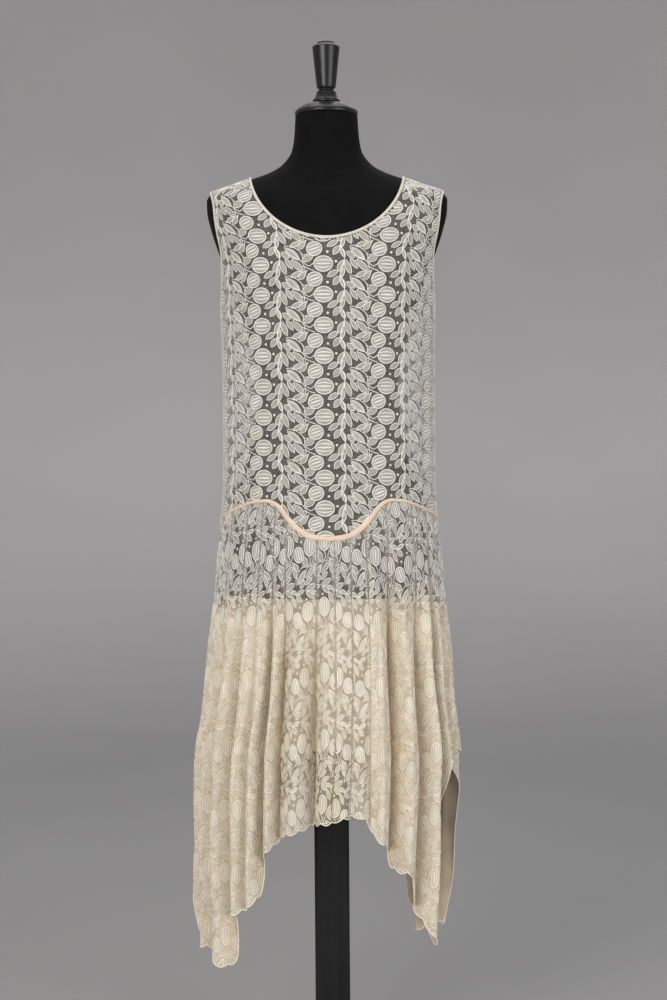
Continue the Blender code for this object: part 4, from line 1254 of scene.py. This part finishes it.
def on_root(piece, slot, *nodes):
    """The piece rides on the one body, takes a slot's finish and stands for solids."""
    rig.ride(piece, "root")
    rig.slot(piece, slot)
    if nodes:
        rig.replaces(piece, *nodes)
    return piece


FORM_STEPS = 120
FORM_ROW = 0.003


def form_cover(material):
    """The form's smooth body, rounded over its shoulders and closed at both ends."""
    heights = np.linspace(FORM_BOTTOM, NECK_TOP, round((NECK_TOP - FORM_BOTTOM) / FORM_ROW))
    body = oval(FORM, np.linspace(0, 360, FORM_STEPS + 1)[None], heights[:, None])
    blocks = [(body,)]
    for ring, shares in ((body[0], (0.001, 0.5, 1.0)), (body[-1], (1.0, 0.5, 0.001))):
        middle = np.array([0, 0, ring[0, 2]])
        blocks.append((np.stack([middle + (ring - middle) * share for share in shares]),))
    return grid_piece("form_cover", material, blocks)


Turn = namedtuple("Turn", "radius height")
FINIAL = table(Turn, [
    (0.0003, 1.6784), (0.0125, 1.6782), (0.0142, 1.6772), (0.0152, 1.6745), (0.0196, 1.6722),
    (0.0218, 1.6705), (0.0219, 1.669), (0.0153, 1.6071), (0.0148, 1.6055), (0.0124, 1.6045),
    (0.0118, 1.603), (0.013, 1.6015), (0.0153, 1.5995), (0.0158, 1.5972), (0.0168, 1.5935), (0.0192, 1.589),
    (0.0218, 1.5864), (0.0222, 1.5845), (0.022, 1.5818), (0.0003, 1.5818),
])
NECK_CAP = table(Turn, [
    (0.0003, 1.5815), (0.0225, 1.5815), (0.03, 1.5803), (0.037, 1.578), (0.044, 1.5738), (0.0488, 1.5698),
    (0.0503, 1.5676), (0.0506, 1.5655), (0.05, 1.5632), (0.049, 1.5619), (0.0003, 1.5619),
])


def round_axis(radius, height, across, deep):
    """Rows of points round the upright axis, whose directions are given."""
    flat = [radius[:, None] * across, radius[:, None] * deep]
    return np.stack([*flat, np.broadcast_to(height[:, None], flat[0].shape)], axis=-1)


def turned_piece(name, outline, material):
    """A turned piece, its outline rounded between its points and its sharp corners kept."""
    points = np.array(outline, float)
    lines = [np.linspace(a, b, 5)[:-1] for a, b in zip(points, points[1:])]
    line = np.vstack(lines + [points[-1:]])
    for _ in range(3):
        line[1:-1] = line[1:-1] * 0.6 + (line[:-2] + line[2:]) * 0.2
    angles = np.linspace(0, 2 * np.pi, 73)
    rows = round_axis(line[:, 0], line[:, 1], np.sin(angles), -np.cos(angles))
    return grid_piece(name, material, [(rows[::-1],)])


UNDERSKIRT_WAVES, UNDERSKIRT_WAVES_FROM = 13, 0.775
UNDERSKIRT_WAVE_DEPTH = 0.006
UNDERSKIRT_HEM = 0.012
UNDERSKIRT_HEM_THICKNESS = 0.0006
UNDERSKIRT_CUT = (0.93, 0.235)


def underskirt(material):
    """The plain tube of cloth under the skirt, with soft waves and a narrow turned hem."""
    low, high = UNDERSKIRT_SECTIONS[0].height, UNDERSKIRT_SECTIONS[-1].height
    heights = np.linspace(low, high, 60)[:, None]
    angles = np.linspace(0, 360, 313)[None]
    points = oval(UNDERSKIRT, angles, heights)
    inward = -normalised(points * np.array([1, 1, 0]))
    deepened = smooth_step((UNDERSKIRT_WAVES_FROM - heights) / 0.15)
    swing = angles + 5 * np.sin(np.radians(angles * 2)) + 3 * np.sin(heights * 15)
    uneven = 0.7 + 0.3 * np.sin(np.radians(3 * angles))
    wave = (1 - np.cos(np.radians(UNDERSKIRT_WAVES * swing))) / 2 * uneven
    hem = UNDERSKIRT_HEM_THICKNESS * (heights < low + UNDERSKIRT_HEM)
    points = points + inward * (UNDERSKIRT_WAVE_DEPTH * deepened * wave - hem)[..., None]
    around = angles / 360 * UNDERSKIRT_CUT[0]
    values = np.stack(np.broadcast_arrays(around, heights, 1.0), axis=-1)
    return grid_piece("underskirt_cloth", material, [(points, values)])


def angle_at(points):
    """The angles round the body of points that lie on its surface or a little off it."""
    angle = angle_of_x(points[:, 0], points[:, 2])
    angle = np.where(points[:, 1] > 0, 180 - angle, angle)
    return np.copysign(angle, points[:, 0])


def binding_line(edge, towards):
    """The centre line of the tape beside a closed edge of (angle, height) pairs, and which way is out."""
    angle, height = np.array(edge, float).T
    on_cloth = cloth_base(angle, height)
    along = np.roll(on_cloth, -1, axis=0) - np.roll(on_cloth, 1, axis=0)
    away = normalised(np.cross(along, outward(angle, height)))
    away = np.where(((towards - on_cloth) * away).sum(axis=1, keepdims=True) < 0, -away, away)
    beside = on_cloth + away * (BINDING_RADIUS * BINDING_BESIDE + BINDING_GAP)
    place = angle_at(beside)
    outs = outward(place, beside[:, 2])
    return cloth_base(place, beside[:, 2]) + outs * (BINDING_RADIUS + BINDING_LIFT), outs


def evenly(points, outs, apart=0.004):
    """A closed line's points spaced evenly, with their directions."""
    points, outs = closed_up(points), closed_up(outs)
    lengths = arc_lengths(points)
    fine = np.linspace(0, lengths[-1], round(lengths[-1] / apart), endpoint=False)
    pick = [np.interp(fine, lengths, column) for column in points.T]
    turn = [np.interp(fine, lengths, column) for column in outs.T]
    line, faced = np.stack(pick, axis=1), normalised(np.stack(turn, axis=1))
    for _ in range(2):
        line = line * 0.5 + (np.roll(line, 1, axis=0) + np.roll(line, -1, axis=0)) * 0.25
    return line, faced


def neck_heights(depth):
    bottom = NECK_POINT - depth
    scooped = bottom + (STRAP_FOOT - bottom) * (1 - np.cos(np.linspace(0, np.pi / 2, 25)[1:]))
    return np.concatenate([scooped, np.linspace(STRAP_FOOT + 0.002, TOP_ROW, 24)])


def neck_tape(material):
    edge = []
    for centre, depth in ((0, NECK_DEPTH_FRONT), (180, NECK_DEPTH_BACK)):
        heights = neck_heights(depth)
        half = list(zip(neckline_angle(heights, depth), heights))
        edge += [(centre - angle, height) for angle, height in half[::-1]]
        edge.append((centre, NECK_POINT - depth))
        edge += [(centre + angle, height) for angle, height in half]
    line, outs = evenly(*binding_line(edge, np.array([0, 0, NECK_TOP])))
    return tape_piece("neck_binding_tape", line, outs, NECK_TAPE_HALF_WIDTH, material)


def armhole_tape(name, side, material):
    heights = np.concatenate([UNDERARM + 0.0004 + 0.05 * np.linspace(0.02, 1, 14) ** 2,
                              np.linspace(1.31, SHOULDER_TIP - 0.0004, 40)])
    front = armhole_angle(heights, FRONT_SCOOP)
    back = armhole_angle(heights, BACK_SCOOP)
    edge = [(90 * side, UNDERARM)] + list(zip(side * front, heights)) + [(90 * side, SHOULDER_TIP)]
    edge += list(zip(side * (180 - back), heights))[::-1]
    middle = cloth_base(90 * side, (UNDERARM + SHOULDER_TIP) / 2)
    line, outs = evenly(*binding_line(edge, middle))
    return tape_piece(name, line, outs, ARMHOLE_TAPE_HALF_WIDTH, material)


def hip_strip(name, centre, material):
    """The folded strip over half of the hip seam, crowned along its middle, with a stitched fold."""
    edge = float(side_limit(SIDE_SEAM_FOOT))
    angles = centre + np.linspace(-edge, edge, 241)
    heights = seam_height(angles)
    ahead = cloth_base(angles + 0.5, seam_height(angles + 0.5))
    behind = cloth_base(angles - 0.5, seam_height(angles - 0.5))
    outs = outward(angles, heights)
    across = normalised(np.cross(outs, ahead - behind))
    bulge = bell((from_centre(angles) - PIPING_WIDE_AT) / PIPING_WIDE_SPREAD)
    half_width = PIPING_HALF_WIDTH + (PIPING_WIDE_HALF_WIDTH - PIPING_HALF_WIDTH) * bulge
    shares = np.linspace(-1, 1, 9)[:, None]
    crown = PIPING_CROWN * (1 - shares**2) ** 0.6 - PIPING_TURN_IN * np.abs(shares) ** 6
    puckers = PIPING_PUCKERS * np.sin(angles[None] * 7.3 + 1.3 * shares) * (1 - shares**2)
    line = cloth_point(angles, heights, PIPING_LIFT)
    rows = line[None] + across[None] * (half_width[None] * shares)[..., None]
    rows = rows + outs[None] * (crown + puckers)[..., None]
    travelled = arc_lengths(line)
    values = np.stack([np.broadcast_to(travelled, rows.shape[:2]), half_width[None] * shares], axis=-1)
    return grid_piece(name, material, [(rows, values)])


SEAM_CORD_HALF_WIDTH = 0.0009 * 1.3
SEAM_CORD_HALF_HEIGHT = 0.0009 * 0.5
SEAM_STRETCHES = [(0.916, UNDERARM - 0.002), (SHOULDER_TIP + 0.001, TOP_ROW - 0.002)]


def side_seams(material):
    """The whipped seams at both sides of the bodice and over the shoulders."""
    blocks = []
    for side in (-1, 1):
        for low, high in SEAM_STRETCHES:
            heights = np.linspace(low, high, max(6, round((high - low) / 0.004)))
            angles = np.full(len(heights), 90.0 * side)
            blocks.append(tube_rows(bodice_point(angles, heights), outward(angles, heights),
                                    SEAM_CORD_HALF_WIDTH, SEAM_CORD_HALF_HEIGHT))
    return grid_piece("side_seam_stitches", material, blocks)


def dress():
    """Builds every piece of cloth, and says what each stands for and what it was cut to."""
    net, fill, thread = net_material(), fill_material(), thread_material()
    binding = tape_material("binding_tape", BINDING_TONES, 0.75, 420, 0.3)
    peach = tape_material("peach_strip", PEACH_TONES, 0.6, 240, 0.2)
    threads, fills = chart(stem=True)
    skirt_threads, _ = chart(stem=False)
    trims = {}
    trims["bodice_front"] = [
        on_root(neck_tape(binding), "binding", "neck_binding"),
        on_root(armhole_tape("armhole_tape_right", -1, binding), "binding", "armhole_binding_right"),
        on_root(armhole_tape("armhole_tape_left", 1, binding), "binding", "armhole_binding_left"),
        on_root(side_seams(binding), "binding"),
    ]
    trims["skirt_front"] = [on_root(hip_strip("hip_strip_front", 0, peach), "piping", "hip_piping_front")]
    trims["skirt_back"] = [on_root(hip_strip("hip_strip_back", 180, peach), "piping", "hip_piping_back")]
    for panel in BODICE_PANELS:
        sheet = on_root(bodice_net(panel, net), "lace", panel.name)
        lace = [
            on_root(bodice_lace(panel, threads, panel.name + "_threads", thread), "lace"),
            on_root(bodice_lace(panel, fills, panel.name + "_fills", fill), "lace"),
        ]
        cut = BODICE_CUTS[panel.name]
        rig.sheet(sheet, flat=(cut.width, cut.length), area=cut.area, held="hung", rests_on=["form_cover"],
                 with_pieces=lace + trims.get(panel.name, []))
    for name, furrows in (("skirt_front", FRONT_FURROWS), ("skirt_back", BACK_FURROWS)):
        flutes = flutes_of(furrows)
        sheet = on_root(skirt_net(name, flutes, net), "lace", name)
        lace = [
            on_root(skirt_lace(flutes, skirt_threads, name + "_threads", thread), "lace"),
            on_root(skirt_lace(flutes, fills, name + "_fills", fill), "lace"),
            on_root(hem_cord(flutes, name + "_hem_edge", thread), "lace"),
        ]
        cut = SKIRT_CUTS[name]
        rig.sheet(sheet, flat=(cut.width, cut.length), area=cut.area, held="hung", rests_on=["form_cover"],
                 with_pieces=lace + trims[name])
    under = on_root(underskirt(silk_material()), "underskirt", "underskirt")
    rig.sheet(under, flat=UNDERSKIRT_CUT, held="hung", rests_on=["form_cover"])


Cut = namedtuple("Cut", "width length area")
BODICE_CUTS = {"bodice_front": Cut(0.47, 0.57, 0.225), "bodice_back": Cut(0.47, 0.57, 0.227)}
SKIRT_CUTS = {"skirt_front": Cut(0.86, 0.72, 0.43), "skirt_back": Cut(0.84, 0.73, 0.45)}


def stand():
    """The dress form on its post and plate."""
    jersey, wood = jersey_material(), wood_material()
    on_root(form_cover(jersey), "form_cloth", "form_body")
    on_root(turned_piece("finial_turned", FINIAL, wood), "black_wood", "finial")
    on_root(turned_piece("neck_cap_turned", NECK_CAP, wood), "black_wood", "neck_cap")
    for name in ("post", "base_plate"):
        solid = frame["nodes"][name]
        solid.data.materials.clear()
        solid.data.materials.append(wood)
        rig.slot(solid, "black_wood")


STAGE_RADIUS = 7.0
STAGE_WALL = 5.0
STAGE_SWEEP = 4.5


def stage():
    """A round pale floor that sweeps up into a wall all round."""
    turn = np.linspace(0, np.pi / 2, 25)
    radius = np.concatenate([[0.001, 1.2], STAGE_RADIUS - STAGE_SWEEP + STAGE_SWEEP * np.sin(turn),
                             [STAGE_RADIUS]])
    height = np.concatenate([[0, 0], STAGE_SWEEP * (1 - np.cos(turn)), [STAGE_WALL]])
    angles = np.linspace(0, 2 * np.pi, 65)
    rows = round_axis(radius, height, np.cos(angles), np.sin(angles))
    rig.stage(grid_piece("floor_and_wall", stage_material(), [(rows,)]))


Lamp = namedtuple("Lamp", "name place size power colour")
LAMPS = [
    Lamp("key", (-1.9, -3.4, 1.9), 2.4, 98.0, (1.0, 0.985, 0.965)),
    Lamp("fill", (2.7, -2.6, 1.5), 2.4, 58.0, (0.98, 0.985, 1.0)),
    Lamp("top", (0.0, 0.6, 4.2), 2.6, 30.0, (1.0, 0.99, 0.98)),
    Lamp("back", (0.6, 3.6, 4.0), 2.6, 14.0, (1.0, 0.99, 0.97)),
]
LIT_AT = (0.0, 0.0, 0.85)
WORLD = (0.66, 0.655, 0.66)
WORLD_STRENGTH = 0.73


def lights():
    world = bpy.data.worlds.new("studio")
    bpy.context.scene.world = world
    world.use_nodes = True
    world.node_tree.nodes["Background"].inputs["Color"].default_value = (*WORLD, 1)
    world.node_tree.nodes["Background"].inputs["Strength"].default_value = WORLD_STRENGTH
    for lamp in LAMPS:
        data = bpy.data.lights.new(lamp.name, "AREA")
        data.shape, data.size, data.energy, data.color = "DISK", lamp.size, lamp.power, lamp.colour
        obj = bpy.data.objects.new(lamp.name, data)
        obj.location = lamp.place
        obj.rotation_euler = (Vector(LIT_AT) - Vector(lamp.place)).to_track_quat("-Z", "Y").to_euler()
        bpy.context.scene.collection.objects.link(obj)


CAMERA_PLACE = (0.0068, -2.8, 1.0782)
CAMERA_AIM = (0.0068, 0.0, 0.9490)
CAMERA_ROLL = -0.42  # degrees
CAMERA_LENS = 62.68
SENSOR = 36.0


def camera():
    data = bpy.data.cameras.new("camera")
    data.sensor_fit, data.sensor_height, data.lens = "VERTICAL", SENSOR, CAMERA_LENS
    obj = bpy.data.objects.new("camera", data)
    looking = (Vector(CAMERA_AIM) - Vector(CAMERA_PLACE)).to_track_quat("-Z", "Y").to_matrix().to_4x4()
    roll = Matrix.Rotation(math.radians(CAMERA_ROLL), 4, "Z")
    obj.matrix_world = Matrix.Translation(CAMERA_PLACE) @ looking @ roll
    bpy.context.scene.collection.objects.link(obj)
    bpy.context.scene.camera = obj


camera()
stage()
lights()
stand()
dress()
bpy.context.scene.view_settings.view_transform = "Standard"
boxes = {"cad": [list(corner) for corner in cad_box], "visual": [list(corner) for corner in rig.bounds()]}
with open("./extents.json", "w") as out:
    json.dump(boxes, out)
